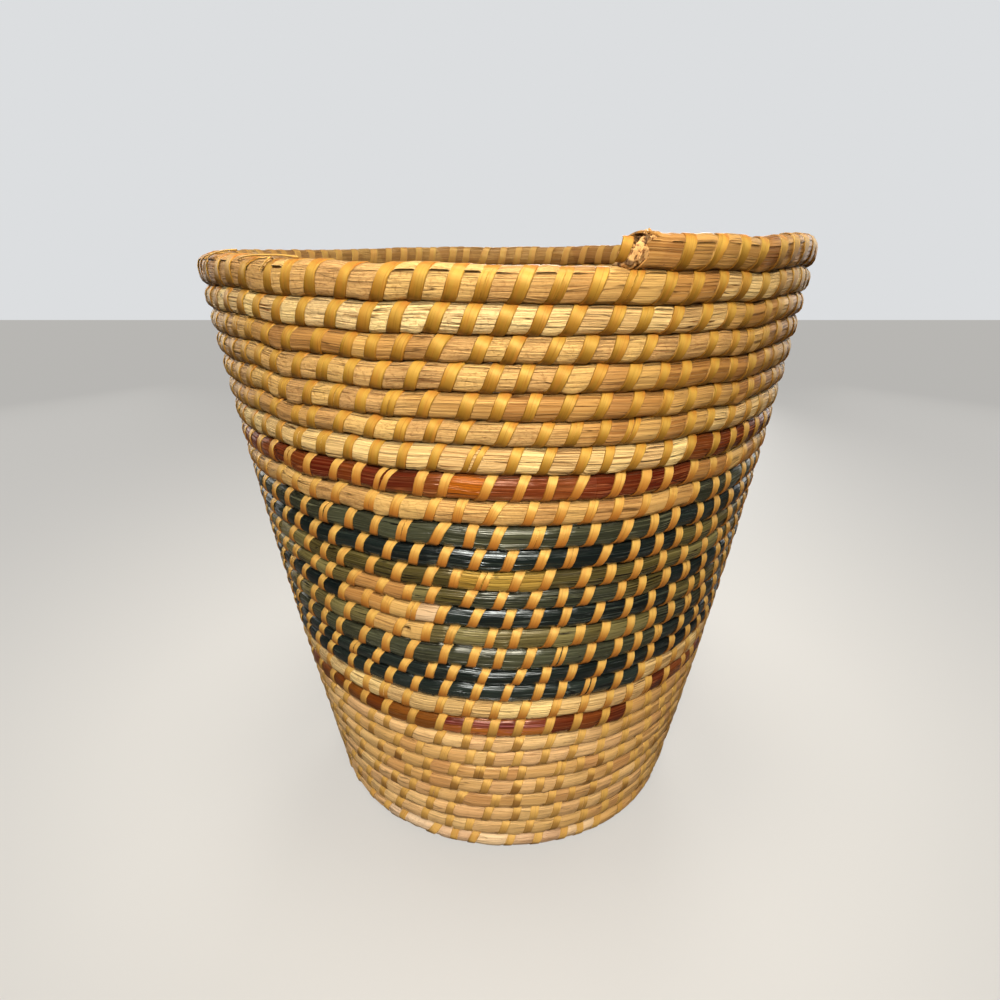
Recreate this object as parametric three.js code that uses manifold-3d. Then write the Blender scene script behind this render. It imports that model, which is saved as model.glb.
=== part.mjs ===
// A coiled straw wastebasket. One rope of straw, a bundle of stems in a leaf sheath, is wound as a flat spiral
// for the base and then climbs as a flaring wall, each turn laid against the turn before it. A strip of cane
// laces the turns together. Here each turn of the rope is a piece of its own, and the cane shows on the rim,
// where the last turn is a bare bundle with its lacing round it.
// Millimetres, +Z up. The origin is the middle of the base on the floor, and the front faces -Y.
import * as THREE from "three";
import { mergeVertices } from "three/addons/utils/BufferGeometryUtils.js";
import Module from "manifold-3d";

// The basket
const footRadius = 101.5; // outside of the lowest turn
const rimRadius = 151.5; // outside of the highest turn
const wallTurns = 28; // whole turns from the base to the rim
const wallBow = 4.7; // degrees that the wall straightens from foot to rim
const seamAzimuth = -57; // degrees from +X, where each turn hands over to the next and a dyed length begins
const endPastSeam = 14; // degrees that the rope runs on past the seam to its torn end

// The rope
const ropeThickness = 10.5; // from the turn below to the turn above
const ropeDepth = 10.5; // through the wall
const ropeSides = 8;
const turnClearance = 0.35; // between a turn and its neighbour
const jointClearance = 0.3; // between the end of one length and the start of the next
const firstBend = 6.2; // radius of the rope's first, tightest bend, at the middle of the base
const tipEdge = 1.4; // bevel of the curled tip in the middle of the base

// The rim's lacing and torn end
const caneWidth = 4;
const caneThickness = 0.7;
const caneClearance = 0.25; // between the cane and the bundle inside it
const caneSpacing = 12.4; // from one stitch to the next along the rim
const sheathWall = 1.2; // leaf sheath round the stems at the torn end
const stemsDepth = 14; // how far in from the torn end the stems are a piece of their own
const stemsProud = 1.6; // how far the stems stand out of the sheath
const stemsClearance = 0.3;

// How finely the turns are drawn
const stepsPerTurn = 22;
const coarseSteps = 12; // on the small turns in the middle of the base
const coarseWithin = 30; // radius up to which a turn counts as small
const shortestStep = 0.2; // share of a step that is still drawn at the end of a length

const flatSpacing = ropeThickness + turnClearance;
const lastTurn = wallTurns + endPastSeam / 360;
const meanLean = Math.asin((rimRadius - footRadius) / (flatSpacing * lastTurn));
const halfBow = THREE.MathUtils.degToRad(wallBow) / 2;
const footStacking = Math.PI / 2 - meanLean - halfBow;
const rimStacking = Math.PI / 2 - meanLean + halfBow;

// How far an eight-sided section of that thickness and depth reaches in a direction, where 0 is towards the
// next turn and a quarter turn is towards the outside.
function reach(direction, thickness, depth) {
  let furthest = 0;
  for (let side = 0; side < ropeSides; side++) {
    const corner = ((side + 0.5) * 2 * Math.PI) / ropeSides;
    const up = (thickness / 2) * Math.cos(corner);
    const out = (depth / 2) * Math.sin(corner);
    const projected = up * Math.cos(direction) + out * Math.sin(direction);
    furthest = Math.max(furthest, projected / Math.cos(Math.PI / ropeSides));
  }
  return furthest;
}

// The direction in which a turn is laid against the one before, as an angle from flat: 0 on the base, then
// turning up over the first turn of the wall, then almost straight up.
function stacking(turn) {
  if (turn <= 0) return 0;
  if (turn < 1) return footStacking * turn;
  return THREE.MathUtils.lerp(footStacking, rimStacking, (turn - 1) / (lastTurn - 1));
}

// The way that the rope's own section faces: halfway between the turn below and the turn above.
function tilt(turn) {
  return (stacking(turn) + stacking(turn + 1)) / 2;
}

// Distance to the turn before. Two sections tilted against each other stand a little further apart.
function spacing(turn) {
  const own = reach(stacking(turn) - tilt(turn), ropeThickness, ropeDepth);
  const before = reach(stacking(turn) - tilt(turn - 1), ropeThickness, ropeDepth);
  return own + before + turnClearance;
}

// Where the middle of the rope lies at a turn, from where it lay a turn before.
function placeRope(turn) {
  const onFloor = reach(tilt(turn) + Math.PI / 2, ropeThickness, ropeDepth);
  const lastFlat = footRadius - ropeDepth / 2 - spacing(0);
  if (turn <= -1) return { radius: lastFlat + flatSpacing * (turn + 1), height: onFloor };
  const before = ropeCentre(turn - 1);
  const radius = before.radius + spacing(turn) * Math.cos(stacking(turn));
  const height = before.height + spacing(turn) * Math.sin(stacking(turn));
  return { radius, height: turn <= 0 ? onFloor : Math.max(onFloor, height) };
}

const placed = new Map();

// Middle of the rope at a turn, as radius and height. Turn 0 is where the base ends and the wall begins.
function ropeCentre(turn) {
  if (!placed.has(turn)) placed.set(turn, placeRope(turn));
  return placed.get(turn);
}

// A point of the rope: up is the distance towards the next turn, out the distance towards the outside.
function ropePoint(turn, up, out) {
  const centre = ropeCentre(turn);
  const lean = tilt(turn);
  const radius = centre.radius + up * Math.cos(lean) + out * Math.sin(lean);
  const height = centre.height + up * Math.sin(lean) - out * Math.cos(lean);
  const azimuth = THREE.MathUtils.degToRad(seamAzimuth - 360 * turn);
  return new THREE.Vector3(radius * Math.cos(azimuth), radius * Math.sin(azimuth), height);
}

// Turns taken by a length along the rope at that turn.
function turnsIn(length, turn) {
  return length / (2 * Math.PI * ropeCentre(turn).radius);
}

// The turns at which a length of rope is bent: its two ends, and between them the same azimuths on each turn.
function bends(from, to, perTurn) {
  const turns = [from];
  const first = Math.ceil(from * perTurn + shortestStep);
  for (let bend = first; bend < to * perTurn - shortestStep; bend++) turns.push(bend / perTurn);
  turns.push(to);
  return turns;
}

// An eight-sided length of rope whose flats face its neighbours, the floor and the inside of the basket.
function ropeLength(turns, thickness, depth) {
  const halfSide = Math.PI / ropeSides;
  const steps = turns.length - 1;
  const bar = new THREE.CylinderGeometry(1, 1, 1, ropeSides, steps, false, halfSide);
  bar.scale(thickness / 2 / Math.cos(halfSide), 1, depth / 2 / Math.cos(halfSide));
  const points = bar.getAttribute("position");
  for (let i = 0; i < points.count; i++) {
    const turn = turns[Math.round((points.getY(i) + 0.5) * steps)];
    points.setXYZ(i, ...ropePoint(turn, points.getX(i), points.getZ(i)));
  }
  bar.computeVertexNormals();
  return bar;
}

const wasm = await Module();
wasm.setup();

function toSolid(geometry) {
  const bare = geometry.clone();
  bare.deleteAttribute("normal");
  bare.deleteAttribute("uv");
  const merged = mergeVertices(bare, 1e-3);
  return new wasm.Manifold(
    new wasm.Mesh({
      numProp: 3,
      vertProperties: merged.getAttribute("position").array,
      triVerts: new Uint32Array(merged.index.array),
    }),
  );
}

function toGeometry(solid) {
  const mesh = solid.getMesh();
  const geometry = new THREE.BufferGeometry();
  geometry.setAttribute("position", new THREE.BufferAttribute(mesh.vertProperties, 3));
  geometry.setIndex(new THREE.BufferAttribute(mesh.triVerts, 1));
  geometry.computeVertexNormals();
  return geometry;
}

function straw(color, roughness) {
  return new THREE.MeshStandardMaterial({ color, roughness, metalness: 0 });
}

const palette = {
  pale: straw(0xd6a868, 0.7),
  golden: straw(0xc8924a, 0.65),
  red: straw(0x7d2f18, 0.45),
  black: straw(0x252c2c, 0.45),
  olive: straw(0x575634, 0.5),
  cane: straw(0xd9a03c, 0.4),
  stems: straw(0xe0bd88, 0.9),
};

// The dyed turns of the wall, counted up from the floor. The other turns are left natural.
const dyedTurns = [
  { dye: "red", from: 9, to: 9 },
  { dye: "black", from: 11, to: 13 },
  { dye: "olive", from: 14, to: 14 },
  { dye: "black", from: 15, to: 15 },
  { dye: "olive", from: 16, to: 17 },
  { dye: "black", from: 18, to: 19 },
  { dye: "red", from: 21, to: 21 },
];
const firstGoldenTurn = 10; // natural turns below this one are paler

function wallPiece(number) {
  const row = String(number).padStart(2, "0");
  const length = dyedTurns.find((dyed) => number >= dyed.from && number <= dyed.to);
  if (length) return { name: `wall_coil_${row}_${length.dye}`, material: palette[length.dye] };
  return { name: `wall_coil_${row}`, material: number < firstGoldenTurn ? palette.pale : palette.golden };
}

const basket = new THREE.Group();

function add(name, geometry, material) {
  const mesh = new THREE.Mesh(geometry, material);
  mesh.name = name;
  basket.add(mesh);
  return mesh;
}

// Base: a flat spiral from the first bend out to the seam, split into lengths at the seam's azimuth.
function addBase() {
  const outermost = ropeCentre(-1).radius;
  const innermost = (firstBend - outermost) / flatSpacing - 1;
  const count = Math.max(1, Math.round(-innermost));
  for (let piece = 1; piece <= count; piece++) {
    const to = piece - count;
    const from = piece === 1 ? innermost : to - 1;
    const start = piece === 1 ? from : from + turnsIn(jointClearance / 2, from);
    const end = to - turnsIn(jointClearance / 2, to);
    const perTurn = ropeCentre(to).radius > coarseWithin ? stepsPerTurn : coarseSteps;
    add(`base_coil_${piece}`, ropeLength(bends(start, end, perTurn), ropeThickness, ropeDepth), palette.pale);
  }
  addTip(innermost);
}

// The rope's curled tip fills the hollow in front of its first bend, a quarter turn back from its start.
function addTip(innermost) {
  const quarterBack = innermost - 0.25;
  const bendRadius = ropeCentre(quarterBack + 1).radius - ropeThickness / 2;
  const room = bendRadius * Math.cos(Math.PI / coarseSteps) - turnClearance;
  const radius = (room - jointClearance) / 2;
  const half = ropeDepth / 2;
  const profile = [
    new THREE.Vector2(0, -half),
    new THREE.Vector2(radius - tipEdge, -half),
    new THREE.Vector2(radius, -half + tipEdge),
    new THREE.Vector2(radius, half - tipEdge),
    new THREE.Vector2(radius - tipEdge, half),
    new THREE.Vector2(0, half),
  ];
  const tip = add("base_start_tip", new THREE.LatheGeometry(profile, coarseSteps), palette.pale);
  const azimuth = THREE.MathUtils.degToRad(seamAzimuth - 360 * quarterBack);
  tip.rotation.x = Math.PI / 2;
  tip.position.set(Math.cos(azimuth), Math.sin(azimuth), 0).multiplyScalar(radius + jointClearance);
  tip.position.z = half;
}

// Wall: one length of rope to each turn below the rim.
function addWall() {
  for (let number = 1; number < wallTurns; number++) {
    const from = number - 1 + turnsIn(jointClearance / 2, number - 1);
    const to = number - turnsIn(jointClearance / 2, number);
    const { name, material } = wallPiece(number);
    add(name, ropeLength(bends(from, to, stepsPerTurn), ropeThickness, ropeDepth), material);
  }
}

// Rim: the last turn is a bundle drawn thinner by its lacing, and ends torn, with its stems standing out.
function addRim() {
  const caneSag = (caneWidth / 2) * Math.sin(Math.PI / stepsPerTurn);
  const caneGap = caneClearance + caneSag;
  const thickness = ropeThickness - 2 * (caneThickness + caneGap);
  const depth = ropeDepth - 2 * (caneThickness + caneGap);
  const from = wallTurns - 1 + turnsIn(jointClearance / 2, wallTurns - 1);
  const turns = bends(from, lastTurn, stepsPerTurn);
  const stemsFrom = lastTurn - turnsIn(stemsDepth, lastTurn);
  const stemsTo = lastTurn + turnsIn(stemsProud, lastTurn);
  const hollow = [thickness - 2 * sheathWall, depth - 2 * sheathWall];
  const pocket = toSolid(ropeLength([stemsFrom, stemsTo], ...hollow));
  const bundle = toSolid(ropeLength(turns, thickness, depth)).subtract(pocket);
  add("rim_coil", toGeometry(bundle), palette.golden);
  const stemsBack = stemsFrom + turnsIn(stemsClearance, lastTurn);
  const filled = hollow.map((size) => size - 2 * stemsClearance);
  add("rim_end_stems", ropeLength([stemsBack, stemsTo], ...filled), palette.stems);
  add("rim_lacing", lacing(turns, thickness / 2 + caneGap, depth / 2 + caneGap), palette.cane);
}

// A point of the lacing, on the straight run of bundle between two of its bends.
function lacedPoint(turns, turn, up, out) {
  const next = turns.findIndex((bend) => bend > turn);
  const share = (turn - turns[next - 1]) / (turns[next] - turns[next - 1]);
  return ropePoint(turns[next - 1], up, out).lerp(ropePoint(turns[next], up, out), share);
}

// The cane strip: flat towards the bundle and crowned outside, wound round the rim turn without a break. On
// the outside it runs down and onward, then up the inside, so its stitches lean the way that they do outside.
function lacing(turns, halfUp, halfOut) {
  const edge = turnsIn(caneWidth, lastTurn);
  const first = turns[0] + edge;
  const length = (lastTurn - edge - first) * 2 * Math.PI * ropeCentre(lastTurn).radius;
  const loops = Math.round(length / caneSpacing);
  const steps = ropeSides * loops;
  const section = new THREE.Shape([
    new THREE.Vector2(0, -caneWidth / 2),
    new THREE.Vector2(caneThickness, 0),
    new THREE.Vector2(0, caneWidth / 2),
  ]);
  const strip = new THREE.ExtrudeGeometry(section, { depth: 1, steps, bevelEnabled: false });
  const points = strip.getAttribute("position");
  const corner = Math.cos(Math.PI / ropeSides);
  for (let i = 0; i < points.count; i++) {
    const step = Math.round(points.getZ(i) * steps);
    const around = ((2 * step + 1) * Math.PI) / ropeSides;
    const turn = THREE.MathUtils.lerp(first, lastTurn - edge, step / steps) + turnsIn(points.getY(i), lastTurn);
    const up = ((halfUp + points.getX(i)) / corner) * Math.cos(around);
    const out = ((halfOut + points.getX(i)) / corner) * Math.sin(around);
    points.setXYZ(i, ...lacedPoint(turns, turn, up, out));
  }
  strip.computeVertexNormals();
  return strip;
}

addBase();
addWall();
addRim();

export default basket;
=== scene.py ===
"""A coiled straw wastebasket laced with split cane.

One rope of straw, a bundle of stems wrapped in leaf sheath, is wound as a flat spiral for the base and then
as a flaring wall. Each turn is laid on the one before, and flat strips of cane are laced round it. Dyed
lengths of straw make the dark bands. The rope's torn end lies on the rim.

Sizes are in millimetres until a mesh is made, and colours are sRGB in hex. A place along the rope is given
in turns, counted from 0 where the base becomes the wall, or as a stitch number, a count of cane stitches from
the rope's start. A place round the rope's own section is an angle: 0 faces the next turn, a quarter turn
outwards.
"""

from __future__ import annotations

import logging
import math
from dataclasses import dataclass, field
from enum import Enum
from types import SimpleNamespace
from typing import Sequence

import bpy
import numpy as np
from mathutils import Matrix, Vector


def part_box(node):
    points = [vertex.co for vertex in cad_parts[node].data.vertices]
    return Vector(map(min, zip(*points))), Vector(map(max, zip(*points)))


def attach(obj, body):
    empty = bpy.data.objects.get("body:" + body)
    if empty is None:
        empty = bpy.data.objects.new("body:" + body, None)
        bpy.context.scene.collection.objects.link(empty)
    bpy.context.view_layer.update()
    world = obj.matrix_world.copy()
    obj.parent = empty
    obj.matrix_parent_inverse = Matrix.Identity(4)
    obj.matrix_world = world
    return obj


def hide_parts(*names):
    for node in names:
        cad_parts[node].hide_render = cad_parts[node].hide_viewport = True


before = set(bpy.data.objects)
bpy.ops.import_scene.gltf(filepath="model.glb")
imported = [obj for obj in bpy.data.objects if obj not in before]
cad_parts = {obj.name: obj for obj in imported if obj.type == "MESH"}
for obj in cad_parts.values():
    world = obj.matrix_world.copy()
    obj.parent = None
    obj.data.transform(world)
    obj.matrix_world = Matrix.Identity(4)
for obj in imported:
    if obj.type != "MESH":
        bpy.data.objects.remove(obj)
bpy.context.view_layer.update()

LOG = logging.getLogger("basket")
MM = 0.001
TURN = 2 * math.pi
BODY = "root"
FRONT_SHARE = 33 / 360  # share of a turn from its start to the middle of the front
LIP_BEND = math.radians(52)  # bend from which an edge of the straw is drawn sharp

Array = np.ndarray
Mesh = bpy.types.Mesh
Socket = bpy.types.NodeSocket
Tree = bpy.types.NodeTree
MATH, RAMP, MIX, NOISE = "ShaderNodeMath", "ShaderNodeMapRange", "ShaderNodeMix", "ShaderNodeTexNoise"
MAPPING, COMBINE, RANDOM = "ShaderNodeMapping", "ShaderNodeCombineXYZ", "FunctionNodeRandomValue"


def linear(hex_colour: str) -> tuple[float, float, float, float]:
    """Turns an sRGB hex colour to linear light.

    Args:
        hex_colour: six hex digits, such as "d9a25e".

    Returns:
        Red, green, blue and an alpha of 1.
    """
    parts = [int(hex_colour[i : i + 2], 16) / 255 for i in (0, 2, 4)]
    red, green, blue = (p / 12.92 if p <= 0.04045 else ((p + 0.055) / 1.055) ** 2.4 for p in parts)
    return red, green, blue, 1.0


def add_node(
    tree: Tree, kind: str, inputs: dict | Sequence = (), output: str | int = 0, **settings: object
) -> Socket | None:
    """Adds a node, sets it up and links or fills its inputs.

    Args:
        tree: the tree that gets the node.
        kind: the node's type name.
        inputs: values, or outputs that feed them, by socket name or number or for the first sockets in order.
        output: name or number of the output that is wanted.
        **settings: the node's own properties.

    Returns:
        The wanted output, or nothing for a node that has none.
    """
    node = tree.nodes.new(kind)
    for name, value in settings.items():
        setattr(node, name, value)
    for key, value in inputs.items() if isinstance(inputs, dict) else enumerate(inputs):
        if isinstance(value, Socket):
            tree.links.new(value, node.inputs[key])
        else:
            node.inputs[key].default_value = value
    return node.outputs[output] if node.outputs else None


def stored(tree: Tree, *names: str) -> SimpleNamespace:
    """Reads values that the mesh holds at each of its points, by name."""
    kind = "ShaderNodeAttribute"
    return SimpleNamespace(**{name: add_node(tree, kind, (), "Fac", attribute_name=name) for name in names})


def ramped(tree: Tree, **ramps: tuple) -> SimpleNamespace:
    """Turns values to shares, by name. Each ramp is a value, two levels of it and the share at each."""
    return SimpleNamespace(**{name: add_node(tree, RAMP, ramp) for name, ramp in ramps.items()})


def inside_shade_share(tree: Tree, girth: Socket) -> Socket:
    """How strongly the painted shade of the basket's inside shows.

    Args:
        tree: the material's tree.
        girth: place round the rope, in turns.

    Returns:
        A share that is 0 outside.
    """
    wave = add_node(tree, MATH, (girth, TURN), operation="MULTIPLY")
    outward = add_node(tree, MATH, (wave,), operation="SINE")
    return add_node(tree, RAMP, (outward, -0.7, 0.1, 0.55, 0))


def distance(tree: Tree, value: Socket, level: float) -> Socket:
    """How far a value is from a level."""
    off = add_node(tree, MATH, (value, level), operation="SUBTRACT")
    return add_node(tree, MATH, (off,), operation="ABSOLUTE")


def paint(tree: Tree, ground: str, layers: Sequence[tuple]) -> Socket:
    """Lays colours over one another.

    Args:
        tree: the material's tree.
        ground: hex colour of the lowest layer.
        layers: for each its share, or several that are multiplied, and its hex colour.

    Returns:
        The colour that shows.
    """
    shade = linear(ground)
    for share, *others, colour in layers:
        for other in others:
            share = add_node(tree, MATH, (share, other), operation="MULTIPLY")
        shade = add_node(tree, MIX, {0: share, 6: shade, 7: linear(colour)}, 2, data_type="RGBA")
    return shade


def ease(share: Array) -> Array:
    """Eases a share from 0 to 1, flat at both ends."""
    share = np.clip(share, 0.0, 1.0)
    return share * share * (3 - 2 * share)


def up_to(place: Array, top: float, fade: float) -> Array:
    """A share that is 1 up to a place and fades to 0 in a stretch past it."""
    return 1 - ease((place - top) / fade)


def within(turns: Array, ends: tuple[float, float]) -> Array:
    """A share that is 0 outside two turns and rises to 1 in half a turn inside them."""
    return ease((turns - ends[0]) * 2) * ease((ends[1] - turns) * 2)


def blend(low: float, high: float, share: Array) -> Array:
    """Goes from one value to another as a share goes from 0 to 1."""
    return low + (high - low) * share


class Grain:
    """Smooth noise on a small wrapped grid, one way along the rope and the other way round it."""

    def __init__(self, seed: int, cells_around: int) -> None:
        """Draws the grid from a seed, with a number of lumps round the rope."""
        self.table = np.random.default_rng(seed).uniform(-1.0, 1.0, (1009, cells_around))

    def at(self, along: Array, around: Array | float = 0.0) -> Array:
        """Reads the noise.

        Args:
            along: place along the rope, in cells.
            around: place round the rope, in turns.

        Returns:
            Values from -1 to 1.
        """
        rows, columns = self.table.shape
        x, y = np.broadcast_arrays(np.asarray(along, float), np.asarray(around, float) * columns)
        x_floor, y_floor = np.floor(x), np.floor(y)
        x_share, y_share = ease(x - x_floor), ease(y - y_floor)
        i, j = x_floor.astype(int) % rows, y_floor.astype(int) % columns
        i_next, j_next = (i + 1) % rows, (j + 1) % columns
        near = self.table[i, j] * (1 - x_share) + self.table[i_next, j] * x_share
        far = self.table[i, j_next] * (1 - x_share) + self.table[i_next, j_next] * x_share
        return near * (1 - y_share) + far * y_share


@dataclass(frozen=True)
class Finish:
    """What a surface is made of and how it meets the eye."""

    name: str  # the material's name
    slot: str  # the record's material slot, or nothing for what isn't part of the basket

    def surface(self, tree: Tree) -> dict[str, object]:
        """Fills a material's tree and gives the inputs of its shader."""
        raise NotImplementedError

    def material(self) -> bpy.types.Material:
        """Builds the material.

        Returns:
            The material.
        """
        made = bpy.data.materials.new(self.name)
        made.use_nodes = True
        tree = made.node_tree
        tree.nodes.clear()
        shader = add_node(tree, "ShaderNodeBsdfPrincipled", self.surface(tree))
        add_node(tree, "ShaderNodeOutputMaterial", {"Surface": shader})
        return made


@dataclass(frozen=True)
class StrawFinish(Finish):
    """Dry straw in a leaf sheath: satin, with fine lengthwise lines, and crumpled where it has shrunk."""

    deep: str  # the darker leaves, and the painted shade in the pits of the crumples
    light: str  # the paler leaves
    crinkled: str  # the crumpled leaves, and the painted highlight on the crests of the crumples and along the pale streaks
    line: str  # the fine lines, and the painted shade in the folds of the crinkled leaf
    roughness: float  # of the smooth leaves
    wrinkle: float  # depth of the fine wrinkles in mm
    line_share: float = 0.6  # how strongly the fine lines show
    crumpled: float = 1.0  # how crumpled the leaf is where it has shrunk
    elsewhere: float = 0.1  # how crumpled it is in other places
    gloss: float = 0.5  # strength of the leaf's waxy shine
    shine: str = "f6d490"  # that shine
    variety: float = 1.0  # how much one stitch's straw differs from the next
    cracks_and_shade: str = "2c1406"  # the dark of the leaf's cracks, and painted shade where turns touch, under the leaf's lifted edge and in the slit
    inside: str = "74542e"  # the leaf on the inside of the basket, painted darker and duller as shade
    hem: str = ""  # a leaf of another dye that shows along the lower side, or nothing

    # Each grain's length along the rope and width round it in mm, its detail and its distortion.
    GRAINS = {
        "leaf": (70.0, 4.6, 1.0, 0.1),
        "streak": (70.0, 0.5, 1.0, 0.03),
        "fibre": (90.0, 1.2, 1.0, 0.05),
        "patch": (14.0, 2.0, 1.0, 0.4),
        "crease": (14.0, 0.65, 1.0, 0.25),
        "crumple": (1.7, 1.0, 3.0, 0.5),
    }

    def surface(self, tree: Tree) -> dict[str, object]:
        """Fills the tree. Its grains follow the rope's own map, which is in metres.

        Args:
            tree: the material's tree.

        Returns:
            The inputs of its shader.
        """
        read = stored(tree, "segment", "tone", "crinkle", "girth", "painted_shade")
        place = add_node(tree, "ShaderNodeUVMap", uv_map="rope")
        grain = SimpleNamespace()
        for name, (along, around, detail, distortion) in self.GRAINS.items():
            spot = add_node(tree, MAPPING, {0: place, 3: (1 / along / MM, 1 / around / MM, 1)})
            noise = {"Vector": spot, "Scale": 1.0, "Detail": detail, "Distortion": distortion}
            setattr(grain, name, add_node(tree, NOISE, noise, "Fac", noise_dimensions="2D"))
        strong, lively = self.line_share, self.variety
        share = ramped(
            tree,
            lines=(distance(tree, grain.fibre, 0.5), 0.008, 0.04, 1, 0),
            broken=(grain.patch, 0.42, 0.62, 0, strong),
            cracks=(distance(tree, grain.leaf, 0.5), 0.002, 0.011, 1, 0),
            open_at=(grain.patch, 0.46, 0.58, 0, strong),
            dark_streak=(grain.streak, 0.3, 0.46, 0.4 * strong, 0),
            pale_streak=(grain.streak, 0.54, 0.7, 0, 0.5 * strong),
            folded=(grain.crease, 0.3, 0.42, 0.3 * strong, 0),
            pit=(grain.crumple, 0.3, 0.48, 0.5 * self.crumpled, 0),
            peak=(grain.crumple, 0.5, 0.7, 0, 0.6 * self.crumpled),
            strip=(grain.leaf, 0.46, 0.54, 0, 1),
            odd=(read.segment, 0.5, 0.9, 0, 0.6 * lively),
            sunlit=(read.tone, 0.1, 0.6, 0.3, 1),
            low_side=(read.girth, 0.2, 0.23, 0, 0.9),
            hue=(read.segment, 0, 1, 0.494, 0.508),
            value=(read.segment, 0, 1, 1 - 0.14 * lively, 1 + 0.12 * lively),
            roughness=(read.crinkle, 0, 1, self.roughness, self.roughness + 0.12),
            softness=(read.crinkle, 0, 1, self.elsewhere, 1.2 * self.crumpled),
        )
        layers = (
            (share.strip, 0.7, self.light),
            (read.tone, 0.8, self.light),
            (read.crinkle, self.crinkled),
            (share.odd, share.sunlit, self.crinkled),
            # painted highlight along the pale streaks
            (share.pale_streak, self.crinkled),
            *([(share.low_side, self.hem)] if self.hem else ()),
            (share.dark_streak, self.line),
            # painted highlight on the crests of the crumples and painted shade in their pits
            (share.peak, read.crinkle, self.crinkled),
            (share.pit, read.crinkle, self.deep),
            # painted shade in the folds of the crinkled leaf
            (share.folded, read.crinkle, self.line),
            (share.lines, share.broken, self.line),
            (share.cracks, share.open_at, self.cracks_and_shade),
            # painted shade where turns touch, under the leaf's lifted edge and in the slit
            (read.painted_shade, self.cracks_and_shade),
            # painted shade on the inside of the basket
            (inside_shade_share(tree, read.girth), self.inside),
        )
        varied = {"Hue": share.hue, "Value": share.value, "Color": paint(tree, self.deep, layers)}

        rumples = add_node(tree, MATH, (grain.crumple, grain.crease), operation="ADD")
        relief = add_node(tree, MATH, (rumples, share.softness), operation="MULTIPLY")
        depths = ((grain.streak, 0.4), (grain.fibre, 0.8), (share.lines, -0.6), (share.strip, 0.7))
        for part, depth in depths:
            relief = add_node(tree, MATH, (part, depth, relief), operation="MULTIPLY_ADD")
        bump = {"Strength": 1.0, "Distance": self.wrinkle * MM, "Height": relief}
        return {
            "Base Color": add_node(tree, "ShaderNodeHueSaturation", varied),
            "Roughness": share.roughness,
            "Specular IOR Level": self.gloss,
            "Specular Tint": linear(self.shine),
            "Normal": add_node(tree, "ShaderNodeBump", bump),
        }


@dataclass(frozen=True)
class CaneFinish(Finish):
    """Split cane, shaved flat: satin, with fine lines along the strip and orange where it is bent."""

    name: str = "Cane_split_and_shaved"
    slot: str = "cane"
    deep: str = "6c480f"  # the darker strips, and the lower end of each, darker partly in its own colour and partly as painted shade
    light: str = "ba903b"  # the yellow strips
    lit: str = "c09c4a"  # painted highlight on the upper part of each
    cream: str = "d6b062"  # painted highlight on the upper part of those on dyed straw
    orange: str = "b26e2c"  # where a strip bends over the top, and the lower end of those on dyed straw, partly as painted shade
    line: str = "5e3c0e"  # the fine lines, and the painted shadow along one edge
    faded: str = "cda45c"  # the upper half of the strips at the foot
    foot: str = "7a5226"  # the lower half of them, darker partly from wear and partly as painted shade
    inside: str = "aa8e54"  # inside the basket, painted duller as shade
    shine: str = "f6d894"  # its shine
    roughness: float = 0.43  # of the shaved face
    strip_step: float = 91.7  # how far apart in the noise the palest strip and the darkest one lie
    fineness: tuple[float, float, float] = (11.0, 1.6, 1.0)  # of the lines: across, along, strip to strip
    relief: float = 0.12  # their depth in mm

    def surface(self, tree: Tree) -> dict[str, object]:
        """Fills the tree. Its lines follow the strip's own length.

        Args:
            tree: the material's tree.

        Returns:
            The inputs of its shader.
        """
        read = stored(tree, "across", "girth", "tone", "aged", "on_dyed")
        own_grain = add_node(tree, MATH, (read.tone, self.strip_step), operation="MULTIPLY")
        spot = add_node(tree, COMBINE, (read.across, read.girth, own_grain))
        narrow = add_node(tree, MAPPING, {0: spot, 3: self.fineness})
        lines = add_node(tree, NOISE, {"Vector": narrow, "Scale": 1.0, "Detail": 3.0}, "Fac")
        cloud = add_node(tree, NOISE, {"Vector": spot, "Scale": 3.0, "Detail": 1.0}, "Fac")
        share = ramped(
            tree,
            lower=(read.girth, 0.18, 0.36, 0, 0.85),
            amber=(read.girth, 0.16, 0.3, 0, 0.85),
            lower_foot=(read.girth, 0.13, 0.2, 0, 1),
            upper=(read.girth, 0.14, 0.3, 0.65, 0),
            bent=(read.girth, 0.04, 0.13, 0.9, 0),
            lit=(distance(tree, read.girth, 0.17), 0.02, 0.09, 0.65, 0),
            plain=(read.on_dyed, 0, 1, 1, 0),
            edge=(read.across, 0.4, 0.48, 0, 0.75),
            fresh=(read.aged, 0, 1, 1, 0.1),
            worn=(read.tone, 0, 1, 0.05, 1),
            stained=(cloud, 0.35, 0.6, 0.15, 1),
            clouded=(cloud, 0.4, 0.7, 0, 0.35),
            lined=(lines, 0.3, 0.45, 0.35, 0),
        )
        layers = (
            (read.tone, 0.4, self.deep),
            # painted highlight on the upper part of each strip
            (share.lit, share.plain, self.lit),
            (share.bent, share.stained, self.orange),
            # darker lower end, partly the cane's own colour and partly painted shade
            (share.lower, self.deep),
            # painted highlight on the upper part of the strips on dyed straw
            (share.upper, read.on_dyed, self.cream),
            # orange lower end on dyed straw, partly painted shade
            (share.amber, read.on_dyed, self.orange),
            (share.clouded, self.orange),
            (read.aged, self.faded),
            # darker lower half at the foot, partly wear and partly painted shade
            (read.aged, share.lower_foot, share.worn, self.foot),
            (share.lined, self.line),
            # painted shadow along one edge of each strip
            (share.edge, share.fresh, self.line),
            # painted shade on the inside of the basket
            (inside_shade_share(tree, read.girth), self.inside),
        )
        bump = {"Strength": 0.7, "Distance": self.relief * MM, "Height": lines}
        return {
            "Base Color": paint(tree, self.light, layers),
            "Roughness": self.roughness,
            "Specular IOR Level": 0.5,
            "Specular Tint": linear(self.shine),
            "Normal": add_node(tree, "ShaderNodeBump", bump),
        }


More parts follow.
